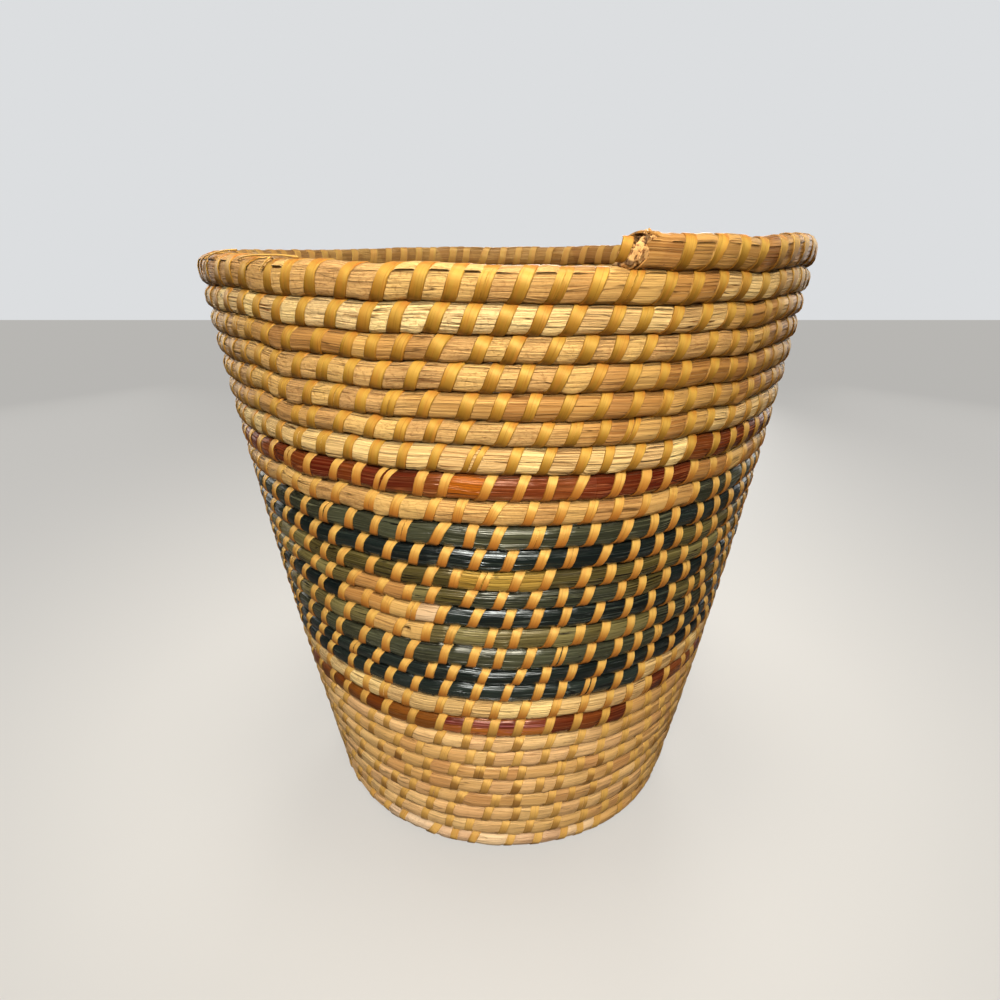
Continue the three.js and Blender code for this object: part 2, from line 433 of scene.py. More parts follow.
@dataclass(frozen=True)
class StemFinish(Finish):
    """Broken straw: matt, pale on its crushed fibres, with painted shade in brown between them and darker
    painted shade in hollows.
    """

    name: str = "Straw_broken_stems"
    slot: str = "straw_cut"
    shade_between: str = "7c4a1c"  # painted shade in brown between the pale fibres
    pale: str = "d8a868"  # the broken fibres
    hollow: str = "3c200a"  # darker painted shade in the hollows
    flake_size: float = 1.3  # of a flake, in mm
    hollow_size: float = 7.0  # of a hollow, in mm
    relief: float = 0.7  # depth of the broken fibres in mm

    def surface(self, tree: Tree) -> dict[str, object]:
        """Fills the tree.

        Args:
            tree: the material's tree.

        Returns:
            The inputs of its shader.
        """
        place = add_node(tree, "ShaderNodeTexCoord", (), "Object")
        fine = {"Vector": place, "Scale": 1 / (self.flake_size * MM), "Detail": 5.0, "Roughness": 0.62}
        wide = {"Vector": place, "Scale": 1 / (self.hollow_size * MM), "Detail": 2.0}
        fibres, hollows = (add_node(tree, NOISE, noise, "Fac") for noise in (fine, wide))
        share = ramped(tree, fresh=(fibres, 0.38, 0.5, 0, 1), sunk=(hollows, 0.4, 0.46, 0.8, 0))
        bump = {"Strength": 1.0, "Distance": self.relief * MM, "Height": fibres}
        return {
            # pale fibres over painted shade, with darker painted shade in the hollows
            "Base Color": paint(tree, self.shade_between, ((share.fresh, self.pale), (share.sunk, self.hollow))),
            "Roughness": 0.75,
            "Normal": add_node(tree, "ShaderNodeBump", bump),
        }


@dataclass(frozen=True)
class FloorPaint(Finish):
    """Matt paint on the floor. It looks pale to the camera and throws little light back on the basket."""

    name: str = "Floor_matt_paint"
    slot: str = ""
    thrown: str = "4a4642"  # what it throws back on the basket
    coat: str = "7c7a76"  # the paint as the camera sees it
    glow: str = "d6d4d0"  # a light of its own that only the camera sees
    glow_strength: float = 0.7  # strength of that light

    def surface(self, tree: Tree) -> dict[str, object]:
        """Fills the tree.

        Args:
            tree: the material's tree.

        Returns:
            The inputs of its shader.
        """
        seen = add_node(tree, "ShaderNodeLightPath", (), "Is Camera Ray")
        return {
            "Base Color": paint(tree, self.thrown, ((seen, self.coat),)),
            "Roughness": 0.8,
            "Emission Color": linear(self.glow),
            "Emission Strength": add_node(tree, RAMP, (seen, 0, 1, 0, self.glow_strength)),
        }


class Straw(Enum):
    """The lengths of straw that the rope is spliced from."""

    GOLDEN = StrawFinish(
        "Straw_golden_leaf", "straw_golden", "8c5e2e", "bd8d4e", "cfa86c", "643a1a", 0.36, 0.3, 0.7
    )
    PALE = StrawFinish(
        "Straw_pale_crinkled_leaf", "straw_golden", "b8925c", "e2be80", "ecd096", "82592e", 0.42, 0.4,
        1.0, 1.2, 0.9
    )
    PEACH = StrawFinish(
        "Straw_pale_foot", "straw_pale", "a87a44", "d2a468", "e0ba84", "80592c", 0.34, 0.28,
        0.6, 0.4, 0.2, 0.6, "f6dcb0", 0.4, "46280e"
    )
    WORN = StrawFinish(
        "Straw_worn_foot", "straw_pale", "b48a5c", "dab890", "e6ccaa", "8c643a", 0.44, 0.32,
        0.4, 0.8, 0.1, 0.5, "f6e6c8", 0.7, "5a381a"
    )
    BROWN = StrawFinish(
        "Straw_brown_leaf", "straw_golden", "4e240c", "6e3812", "7e4a1e", "341806", 0.32, 0.24, 0.5
    )
    # The claret, red, black and slate straws have lines paler than their leaf, which are partly painted
    # highlight.
    CLARET = StrawFinish(
        "Straw_dyed_claret", "straw_red", "300c08", "561c10", "6a2c1e", "a86868", 0.2, 0.22,
        0.8, 0.3, 0.1, 0.6, "f4c8b8", 1.0, "200804", "6b4c28", "a05a20"
    )
    RED = StrawFinish(
        "Straw_dyed_red", "straw_red", "2a0a04", "5a200c", "703416", "9a5a34", 0.21, 0.3,
        1.0, 0.3, 0.1, 0.65, "f4c8b0"
    )
    RUST = StrawFinish(
        "Straw_dyed_rust", "straw_red", "2c0803", "7c3010", "a4540e", "4c1606", 0.24, 0.24,
        0.9, 0.4, 0.1, 0.5, "f8d8c0", 1.1
    )
    BLACK = StrawFinish(
        "Straw_dyed_black", "straw_black", "040707", "0e1618", "222a26", "3c443c", 0.15, 0.34,
        0.9, 0.2, 0.15, 0.65, "dce8f0", 1.0, "020202"
    )
    SLATE = StrawFinish(
        "Straw_dyed_slate", "straw_black", "0c0e0b", "262a20", "444634", "64664e", 0.17, 0.36,
        1.0, 0.3, 0.15, 0.65, "e4e8e0", 1.0, "040403"
    )
    OLIVE = StrawFinish(
        "Straw_dyed_olive", "straw_olive", "241f10", "544c26", "847a50", "171209", 0.22, 0.36,
        1.0, 0.5, 0.15, 0.6, "ece4c8", 1.0, "080603"
    )
    MOSS = StrawFinish(
        "Straw_faded_olive", "straw_olive", "6a5624", "a88636", "ccac58", "332a10", 0.34, 0.36,
        0.9, 1.0, 0.1, 0.5, "f6dc90", 1.0, "0e0a04"
    )


@dataclass
class Winding:
    """The rope's path, as the frame has it, with the unevenness that hand winding gives each turn."""

    foot_radius: float = 101.5  # outside of the lowest turn
    rim_radius: float = 151.5  # outside of the highest turn
    wall_turns: int = 28  # whole turns from the base to the rim
    wall_bow: float = 4.7  # degrees that the wall straightens from foot to rim
    seam_azimuth: float = -57.0  # degrees from +X where each turn hands over to the next
    end_past_seam: float = 14.0  # degrees that the rope runs on past the seam to its torn end
    rope_thickness: float = 10.5  # from the turn below to the turn above
    rope_depth: float = 10.5  # through the wall
    turn_clearance: float = 0.35  # between a turn and its neighbour
    first_bend: float = 6.2  # radius of the rope's first bend
    rope_sides: int = 8  # sides of the rope's section in the frame
    uneven: float = 0.25  # how much a turn's thickness wanders
    swells: tuple[int, int] = (17, 41)  # how many broad and how many short swells a turn has
    short_swell: float = 0.6  # size of a short one, as a share of a broad one
    # Turns whose straw is thicker or thinner than the rest, and by how much.
    odd_turns: dict[int, float] = field(
        default_factory=lambda: {
            **{3: 0.4, 6: -0.7, 8: -0.9, 9: 0.8, 10: 1.0, 12: -1.7, 13: 1.3, 14: 0.5, 16: -1.5},
            **{17: -0.6, 18: -0.5, 19: 0.4, 21: 0.4, 22: 0.9, 23: -0.8, 26: -0.8, 28: 1.7, 29: 1.7},
        }
    )
    samples: int = 720  # steps in each turn of the table that holds the path

    def __post_init__(self) -> None:
        """Winds the rope once and keeps its path as a table over its turns."""
        self.end = self.wall_turns + self.end_past_seam / 360
        pitch = self.rope_thickness + self.turn_clearance
        lean = math.asin((self.rim_radius - self.foot_radius) / (pitch * self.end))
        half_bow = math.radians(self.wall_bow) / 2
        self.foot_stacking = math.pi / 2 - lean - half_bow
        self.rim_stacking = math.pi / 2 - lean + half_bow
        outermost_flat = self.foot_radius - self.rope_depth / 2 - float(self.spacing(np.array([0.0]))[0])
        self.start = (self.first_bend - outermost_flat) / pitch - 1

        first, last = math.floor(self.start) - 1, self.wall_turns + 2
        turns = first + np.arange((last - first) * self.samples + 1) / self.samples
        extra = self.thicker(turns)
        radius = np.where(turns <= -1, outermost_flat + pitch * (turns + 1), 0.0)
        on_floor = self.reach(self.tilt(turns) + math.pi / 2)
        height = on_floor.copy()
        gap = self.spacing(turns)
        gap[self.samples :] += (extra[self.samples :] + extra[: -self.samples]) / 2
        for low in range(int((-1 - first) * self.samples) + 1, len(turns), self.samples):
            now = slice(low, min(low + self.samples, len(turns)))
            before = slice(now.start - self.samples, now.stop - self.samples)
            radius[now] = radius[before] + gap[now] * np.cos(self.stacking(turns[now]))
            climbed = height[before] + gap[now] * np.sin(self.stacking(turns[now]))
            height[now] = np.where(turns[now] <= 0, on_floor[now], np.maximum(on_floor[now], climbed))
        self.turns, self.radius, self.height, self.extra = turns, radius, height, extra
        middle = (radius[1:] + radius[:-1]) / 2
        self.length = np.concatenate([[0.0], np.cumsum(np.maximum(middle, 0.5) * TURN / self.samples)])
        self.length -= np.interp(self.start, turns, self.length)

    def stacking(self, turns: Array) -> Array:
        """The direction in which a turn is laid on the one before.

        Args:
            turns: place along the rope.

        Returns:
            Angles: 0 is flat and a quarter turn is upright.
        """
        climb = (turns - 1) / (self.end - 1)
        on_wall = blend(self.foot_stacking, self.rim_stacking, climb)
        return np.where(turns <= 0, 0.0, np.where(turns < 1, self.foot_stacking * turns, on_wall))

    def tilt(self, turns: Array) -> Array:
        """The way that the rope's own section faces."""
        return (self.stacking(turns) + self.stacking(turns + 1)) / 2

    def reach(self, direction: Array) -> Array:
        """How far the frame's faceted section reaches.

        Args:
            direction: an angle counted from one of its flats.

        Returns:
            Distance from the section's middle in mm.
        """
        side = TURN / self.rope_sides
        off_flat = np.abs((np.asarray(direction) + side / 2) % side - side / 2)
        return self.rope_thickness / 2 * np.cos(side / 2 - off_flat) / math.cos(side / 2)

    def spacing(self, turns: Array) -> Array:
        """How far a turn is from the one before it in the frame.

        Args:
            turns: place along the rope.

        Returns:
            Distance from middle to middle in mm.
        """
        own = self.reach(self.stacking(turns) - self.tilt(turns))
        before = self.reach(self.stacking(turns) - self.tilt(turns - 1))
        return own + before + self.turn_clearance

    def thicker(self, turns: Array) -> Array:
        """How much thicker than usual the rope is.

        Args:
            turns: evenly spaced turns.

        Returns:
            Extra thickness in mm, which fades from one turn to the next.
        """
        odd = np.array([self.odd_turns.get(int(k), 0.0) for k in np.ceil(turns)])
        fade = self.samples // 12
        blur = np.ones(2 * fade + 1) / (2 * fade + 1)
        odd = np.convolve(np.pad(odd, fade, mode="edge"), blur, mode="valid")
        broad, short = (Grain(seed, 1).at(turns * many) for seed, many in zip((41, 42), self.swells))
        wander = broad + self.short_swell * short
        return (odd + self.uneven * wander) * ease(turns)

    def length_at(self, turns: Array | float) -> Array:
        """Length of rope from its start to each turn."""
        return np.interp(turns, self.turns, self.length)

    def half_thickness(self, turns: Array) -> Array:
        """Half the rope's thickness, with the gaps between turns closed."""
        own = self.spacing(turns) / 2 + self.spacing(turns + 1) / 2
        return own / 2 + np.interp(turns, self.turns, self.extra) / 2

    def place(self, turns: Array, up: Array | float = 0.0, out: Array | float = 0.0) -> Array:
        """Finds points in space.

        Args:
            turns: place along the rope.
            up: distance from the rope's middle towards the next turn.
            out: distance from the rope's middle towards the outside.

        Returns:
            Points in mm, in an array with one more axis.
        """
        tilt = self.tilt(turns)
        radius = np.interp(turns, self.turns, self.radius) + up * np.cos(tilt) + out * np.sin(tilt)
        height = np.interp(turns, self.turns, self.height) + up * np.sin(tilt) - out * np.cos(tilt)
        azimuth = np.radians(self.seam_azimuth - 360 * turns)
        return np.stack([radius * np.cos(azimuth), radius * np.sin(azimuth), height], axis=-1)


@dataclass
class Stitching:
    """Where the cane crosses the rope. It runs as a helix: over the top, down the outside, up the inside."""

    winding: Winding  # the rope's path
    foot_spacing: float = 13.6  # from one stitch to the next in the base and at the foot
    rim_spacing: float = 12.4  # from one stitch to the next at the rim
    wander: float = 0.2  # how far a stitch strays from its even place, as a share of the spacing
    foot_wander: float = 0.14  # how much more it strays at the foot
    foot_top: float = 6  # turn up to which it does
    foot_fade: float = 3  # turns in which that ends
    wander_pace: float = 0.83  # how often it changes sides, in changes a stitch
    foot_upright: float = 0.08  # how far the outside of a stitch is straightened up at the foot, in spacings
    rim_upright: float = -0.05  # the same at the rim, where a stitch leans over instead

    def __post_init__(self) -> None:
        """Counts the stitches along the rope."""
        path = self.winding
        share = np.clip(path.turns / path.end, 0, 1)
        spacing = blend(self.foot_spacing, self.rim_spacing, share)
        steps = np.diff(path.length) / ((spacing[1:] + spacing[:-1]) / 2)
        count = np.concatenate([[0.0], np.cumsum(steps)])
        count -= np.interp(path.start, path.turns, count)
        wander = self.wander + self.foot_wander * up_to(path.turns, self.foot_top, self.foot_fade)
        self.count = np.maximum.accumulate(count + wander * Grain(51, 1).at(count * self.wander_pace))

    def lead(self, number: Array | float, around: Array) -> Array:
        """How many stitches a strip runs ahead of its middle, at each place round the rope in turns."""
        upright = np.interp(number, [0.0, self.count[-1]], [self.foot_upright, self.rim_upright])
        return around - 0.25 + upright * np.cos(TURN * around)

    def shear(self, number: Array | float, around: Array) -> Array:
        """How many stitches a closed ring round the rope, slanted as the stitches are, runs ahead."""
        return self.lead(number, np.minimum(around, 1 - around))

    def number_at(self, turns: float) -> float:
        """The stitch number at a turn."""
        return float(np.interp(turns, self.winding.turns, self.count))

    def turn_of(self, number: Array | float) -> Array:
        """The turn at which the cane crosses the middle of the outside."""
        return np.interp(number, self.count, self.winding.turns)


@dataclass
class Patches:
    """Something that varies along the rope: there is some everywhere, more on one side, and it is patchy."""

    seed: int  # number that fixes the patches
    length: float  # from one patch to the next
    left: float  # degrees left of the front where there is most of it
    parts: tuple[float, float, float]  # how much there is everywhere, how much on that side, how patchy it is

    def __post_init__(self) -> None:
        """Draws the patches."""
        self.grain = Grain(self.seed, 1)

    def at(self, length: Array, turns: Array) -> Array:
        """How much of it there is.

        Args:
            length: of rope from its start to each place.
            turns: place along the rope.

        Returns:
            Values that may lie outside 0 to 1.
        """
        everywhere, side, patchy = self.parts
        facing = (0.5 + 0.5 * np.cos(TURN * (turns - FRONT_SHARE) - math.radians(self.left))) ** 2
        return everywhere + side * facing + patchy * self.grain.at(length / self.length)


@dataclass
class Leaf:
    """How the rope's leaf sheath varies along the rope."""

    # Where it has shrunk and crinkled, and where the sun has bleached it.
    shrunk: Patches = field(default_factory=lambda: Patches(71, 80, 60, (-0.2, 1.1, 0.9)))
    bleached: Patches = field(default_factory=lambda: Patches(72, 60, 20, (0.15, 0.6, 0.35)))
    new_from: float = 27.6  # turn from which it looks new, smooth and brown
    rim_from: float = 27.15  # turn from which it lies on the rim, and is smoother
    bands: tuple[float, float] = (9.6, 19.4)  # turns between which it is dyed dark, and smoother
    smooth: float = 0.6  # how much smoother, as a share

    def unworn(self, turns: Array) -> Array:
        """How new the leaf looks, from 0 to 1 in the last stretch before the torn end."""
        return ease((turns - self.new_from) * 5)

    def crinkle(self, length: Array, turns: Array) -> Array:
        """How crinkled the leaf is at each place, from 0, which is smooth, to 1."""
        natural = ease(self.shrunk.at(length, turns)) * (1 - self.smooth * ease((turns - self.rim_from) * 8))
        return natural * (1 - self.unworn(turns)) * (1 - self.smooth * within(turns, self.bands))

    def tone(self, length: Array, turns: Array) -> Array:
        """How pale the leaf is at each place, from 0 to 1, which is bleached."""
        return np.clip(self.bleached.at(length, turns), 0, 1) * (1 - 0.5 * self.unworn(turns))


@dataclass
class Bundle:
    """The surface of the rope between and under its stitches."""

    stitching: Stitching  # its stitches
    leaf: Leaf = field(default_factory=Leaf)  # how its sheath varies
    squareness: float = 2.5  # 2 is an ellipse, more is boxier
    pinch: float = 0.14  # how deep a stitch pulls in the bundle
    foot_pinch: float = 0.2  # the same in the soft straw of the foot
    foot_top: float = 7  # turn up to which the straw is soft
    foot_fade: float = 3  # turns in which it becomes firm
    pinch_width: float = 2.0  # half width of that waist where it is deepest
    pinch_fade: float = 1.5  # how far from there the waist ends
    bulge: float = 0.09  # how far the bundle swells between two stitches
    foot_bulge: float = 0.1  # the same in the soft straw of the foot
    bulge_spread: float = 0.7  # how much one swelling differs from the next, as a share
    held: float = 0.9  # how flat a stitch holds the leaf: 1 is wholly
    lump: float = 0.32  # size of its lumps
    lump_length: float = 12  # from one lump to the next
    ridge: float = 0.24  # size of its lengthwise ridges
    ridge_length: float = 24  # from one ridge to the next
    crease_length: float = 4.5  # from one crease to the next, where it is crinkled
    sag: float = 0.55  # how far the loose straw hangs out over the turn below, here and there
    sag_length: float = 9  # from one such place to the next
    sag_parts: tuple[float, float] = (-0.3, 1.8)  # how loose it is everywhere, and how much that varies
    sag_width: float = 0.07  # how far it hangs loose round the section, in turns
    sag_at: float = 0.38  # where it hangs round the section, in turns
    lip: float = 0.30  # thickness of the leaf's edge, where it laps over itself
    lift_length: float = 13  # from one loose place along that edge to the next
    lift_parts: tuple[float, float] = (0.55, 1.2)  # how loose it is everywhere, and how much that varies
    lip_lift: float = 0.6  # how far that edge stands up between two stitches on the rim, where it is loose
    lip_fade: float = 9  # how fast that fades away from the edge
    tucked_share: float = 0.35  # how far it stands up below the rim, as a share of that
    pressed: float = 0.45  # how high the straw lies over the floor, where the cane under it is pressed flat
    touch_shade: float = 0.85  # how dark the painted shade is where two turns touch
    lap_shadow: float = 1.5  # how dark the painted shadow is under the leaf's lifted edge
    lap_fade: float = 90  # how fast that painted shadow fades away from the edge
    shade_from: float = 0.74  # how squarely a place has to face the next turn for painted shade: 1 is head on
    shade_fade: float = 0.24  # how much more squarely for all of it
    slit_turn: float = 13 + FRONT_SHARE + 20.4 / 360  # turn at which the straw of the patch is slit
    slit_angle: float = 0.2  # where the slit lies round the section, in turns
    slit_size: tuple[float, float, float] = (1.7, 1.0, 2.6)  # half its length, half its width and its depth

    def __post_init__(self) -> None:
        """Draws the noise that shapes the bundle."""
        self.winding = self.stitching.winding
        self.lumps, self.ridges, self.creases = Grain(61, 5), Grain(62, 11), Grain(63, 17)
        self.lifting, self.sagging = Grain(65, 1), Grain(66, 1)
        self.swell = np.random.default_rng(64).uniform(-1, 1, 4096)

    def section(self, turns: Array, angle: Array) -> tuple[Array, Array]:
        """Finds the rope's smooth outline.

        Args:
            turns: place along the rope.
            angle: place round the rope.

        Returns:
            Distances up and out from the rope's middle in mm.
        """
        power = 2 / self.squareness
        cosine, sine = np.cos(angle), np.sin(angle)
        up = self.winding.half_thickness(turns) * np.sign(cosine) * np.abs(cosine) ** power
        return up, self.winding.rope_depth / 2 * np.sign(sine) * np.abs(sine) ** power

    def pull(self, turns: Array, angle: Array) -> tuple[Array, Array]:
        """How near a place is to a stitch.

        Args:
            turns: place along the rope.
            angle: place round the rope.

        Returns:
            A share, 1 under a stitch and 0 between two, and the stitch number at the place.
        """
        count = np.interp(turns, self.winding.turns, self.stitching.count)
        number = count - self.stitching.lead(count, angle / TURN)
        off_stitch = np.abs(number - np.round(number)) * self.stitching.rim_spacing
        return up_to(off_stitch, self.pinch_width, self.pinch_fade), number

    def waist(self, turns: Array, angle: Array) -> Array:
        """How far a place is pulled in by the nearest stitch or swells between two.

        Args:
            turns: place along the rope.
            angle: place round the rope.

        Returns:
            Distance outwards in mm.
        """
        pulled, number = self.pull(turns, angle)
        own = self.swell[np.floor(number).astype(int) % len(self.swell)]
        foot = up_to(turns, self.foot_top, self.foot_fade)
        bulge = blend(self.bulge, self.foot_bulge, foot)
        pinch = blend(self.pinch, self.foot_pinch, foot)
        return bulge * (1 + self.bulge_spread * own) * (1 - pulled) - pinch * pulled

    def painted_shade(self, turns: Array, angle: Array, wrap: Array | float) -> Array:
        """How much painted shade a place gets: where a neighbouring turn lies on it, under the leaf's lifted
        edge and in the slit.

        Args:
            turns: place along the rope.
            angle: place round the rope.
            wrap: how far round from the leaf's edge a place is, from 0 to 1.

        Returns:
            A share from 0 to 1.
        """
        winding = self.winding
        to_next = np.cos(angle - winding.tilt(turns) + winding.stacking(turns + 1))
        to_last = -np.cos(angle - winding.tilt(turns) + winding.stacking(turns))
        touched = ease((np.maximum(to_next, to_last) - self.shade_from) / self.shade_fade)
        top_free = np.where((turns > winding.end - 1) & (to_next > 0), 0.0, 1.0)
        lapped = np.minimum(self.lap_shadow * self.looseness(turns, angle) * np.exp(-wrap * self.lap_fade), 1)
        return np.maximum(np.maximum(self.touch_shade * touched * top_free, lapped), self.slit(turns, angle))

    def slit(self, turns: Array, angle: Array) -> Array:
        """How far into the slit a place is.

        Args:
            turns: place along the rope.
            angle: place round the rope.

        Returns:
            A share from 0 to 1.
        """
        half_length, half_width, _ = self.slit_size
        winding = self.winding
        along = (winding.length_at(turns) - winding.length_at(self.slit_turn)) / half_length
        off = (angle / TURN - self.slit_angle + 0.5) % 1 - 0.5
        across = off * TURN * winding.rope_depth / 2 / half_width
        return 1 - ease(np.maximum(np.abs(along), np.abs(across)) - 0.4)

    def on_rim(self, turns: Array) -> Array:
        """Whether a place lies on the rim's turn, from 0 to 1."""
        return ease((turns - self.winding.end + 1.02) * 12)

    def looseness(self, turns: Array, angle: Array) -> Array:
        """How far the leaf's edge stands up.

        Args:
            turns: place along the rope.
            angle: place round the rope.

        Returns:
            A share from 0 to 1.
        """
        pulled, _ = self.pull(turns, angle)
        on_rim = self.on_rim(turns) * (1 - 0.9 * self.leaf.unworn(turns))
        everywhere, patchy = self.lift_parts
        lifted = everywhere + patchy * self.lifting.at(self.winding.length_at(turns) / self.lift_length)
        return ease(lifted) * (1 - self.held * pulled) * blend(self.tucked_share, 1, on_rim)

    def surface(
        self, turns: Array, angle: Array, wrap: Array | float = 0.5, girth_share: Array | float = 1.0
    ) -> Array:
        """Points on the rope's surface.

        Args:
            turns: place along the rope.
            angle: place round the rope.
            wrap: how far round from the leaf's edge a place is, from 0 to 1.
            girth_share: share of the full distance from the rope's middle.

        Returns:
            Points in mm.
        """
        up, out = self.section(turns, angle)
        length, around = self.winding.length_at(turns), angle / TURN
        crinkled = self.leaf.crinkle(length, turns)
        rough = self.lump * self.lumps.at(length / self.lump_length, around)
        rough += self.ridge * (0.6 + 0.4 * crinkled) * self.ridges.at(length / self.ridge_length, around)
        rough += self.ridge * 0.8 * crinkled * self.creases.at(length / self.crease_length, around)
        low = (around % 1 - self.sag_at) / self.sag_width
        everywhere, patchy = self.sag_parts
        loose = ease(everywhere + patchy * self.sagging.at(length / self.sag_length))
        rough += self.sag * loose * np.exp(-low * low)
        near_edge = np.exp(-(1 - wrap) * self.lip_fade)
        rough += self.lip * (wrap - 0.5) + self.lip_lift * self.looseness(turns, angle) * near_edge
        pulled, _ = self.pull(turns, angle)
        lift = self.waist(turns, angle) + rough * (1 - self.held * pulled)
        lift -= self.slit_size[2] * self.slit(turns, angle)
        size = girth_share * (1 + lift / np.maximum(np.hypot(up, out), 1))
        points = self.winding.place(turns, up * size, out * size)
        points[..., 2] = np.maximum(points[..., 2], self.pressed)
        return points


def quads(rings: int, columns: int) -> Array:
    """Numbers the corners of the faces between closed rings of points.

    Args:
        rings: how many rings.
        columns: how many points in each.

    Returns:
        Four corner numbers for each face, one face a row.
    """
    ring, here = np.arange(rings - 1)[:, None] * columns, np.arange(columns)
    corner, beside = ring + here, ring + (here + 1) % columns
    return np.stack([corner, corner + columns, beside + columns, beside], axis=-1).reshape(-1, 4)


def make_mesh(name: str, points: Array, *faces: Array) -> Mesh:
    """Makes a mesh that is shaded smooth.

    Args:
        name: the mesh's name.
        points: points in mm, one a row.
        *faces: corner numbers, one face a row. Each array holds faces with as many corners.

    Returns:
        The mesh, in metres.
    """
    mesh = bpy.data.meshes.new(name)
    mesh.vertices.add(len(points))
    mesh.vertices.foreach_set("co", (points * MM).ravel())
    corners = np.concatenate([kind.ravel() for kind in faces]).astype(np.int32)
    sizes = np.concatenate([np.full(len(kind), kind.shape[1]) for kind in faces])
    mesh.loops.add(len(corners))
    mesh.loops.foreach_set("vertex_index", corners)
    mesh.polygons.add(len(sizes))
    mesh.polygons.foreach_set("loop_start", (np.cumsum(sizes) - sizes).astype(np.int32))
    mesh.polygons.foreach_set("use_smooth", np.ones(len(sizes), dtype=bool))
    mesh.update(calc_edges=True)
    return mesh


def make_tube(name: str, rings: Array) -> Mesh:
    """Makes a tube through rings of points, closed by a fan of triangles at both ends.

    Args:
        name: the mesh's name.
        rings: points in mm, by ring and by place round it.

    Returns:
        The mesh, smooth but for the leaf's edge. Its last two points are the middles of the ends.
    """
    count, columns = rings.shape[:2]
    here, fans = np.arange(columns), []
    for ring, way in ((0, 1), (count - 1, -1)):
        edge = ring * columns + np.stack([here, (here + 1) % columns], axis=-1)
        middle = np.full((columns, 1), count * columns + len(fans))
        fans.append(np.concatenate([edge[:, ::way], middle], axis=1))
    points = np.concatenate([rings.reshape(-1, 3), rings[[0, -1]].mean(axis=1)])
    mesh = make_mesh(name, points, quads(count, columns), *fans)
    mesh.set_sharp_from_angle(angle=LIP_BEND)
    return mesh


def add_values(mesh: Mesh, name: str, values: Array) -> None:
    """Stores a number, or a direction, at each point of a mesh."""
    kind, key = ("FLOAT", "value") if values.ndim == 1 else ("FLOAT_VECTOR", "vector")
    mesh.attributes.new(name, kind, "POINT").data.foreach_set(key, values.astype(np.float32).ravel())


def lay_map(mesh: Mesh, places: Array) -> None:
    """Gives a mesh the rope's own map.

    Args:
        mesh: the mesh.
        places: for each point its place along the rope and round it, in metres.
    """
    corners = np.empty(len(mesh.loops), dtype=np.int32)
    mesh.loops.foreach_get("vertex_index", corners)
    mesh.uv_layers.new(name="rope").data.foreach_set("uv", places[corners].astype(np.float32).ravel())


def put(name: str, data: bpy.types.ID) -> bpy.types.Object:
    """Puts an object in the scene.

    Args:
        name: its name.
        data: its mesh, camera or lamp.

    Returns:
        The object.
    """
    thing = bpy.data.objects.new(name, data)
    bpy.context.scene.collection.objects.link(thing)
    return thing


def show(name: str, mesh: Mesh, slot: str, *nodes: str) -> None:
    """Puts a finished piece in the scene, on the basket's one body.

    Args:
        name: the piece's name.
        mesh: its mesh, with its material.
        slot: not used.
        *nodes: the frame's nodes that it stands for.
    """
    piece = put(name, mesh)
    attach(piece, BODY)
    if nodes:
        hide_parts(*nodes)
    LOG.info("%s: %d faces", name, len(mesh.polygons))


@dataclass(frozen=True)
class Cup:
    """The leaf sheath's ragged edge at the torn end, and its hollow. Lengths are counts of stitches."""

    torn_back: float = 0.3  # how far back from the end the edge lies in front, where it is torn away most
    raggedness: float = 0.24  # how far the edge strays from there
    fray_stitches: float = 0.6  # how far back from the end the edge starts to stray
    tears: float = 11  # how many tears it has round the rope
    torn_side: float = 0.3  # place round the section where most is torn away, in turns
    depths: tuple[float, ...] = (0.0, 0.1, 0.3)  # how deep each inner ring lies
    girths: tuple[float, ...] = (0.9, 0.84, 0.8)  # share of the rope's girth at each inner ring


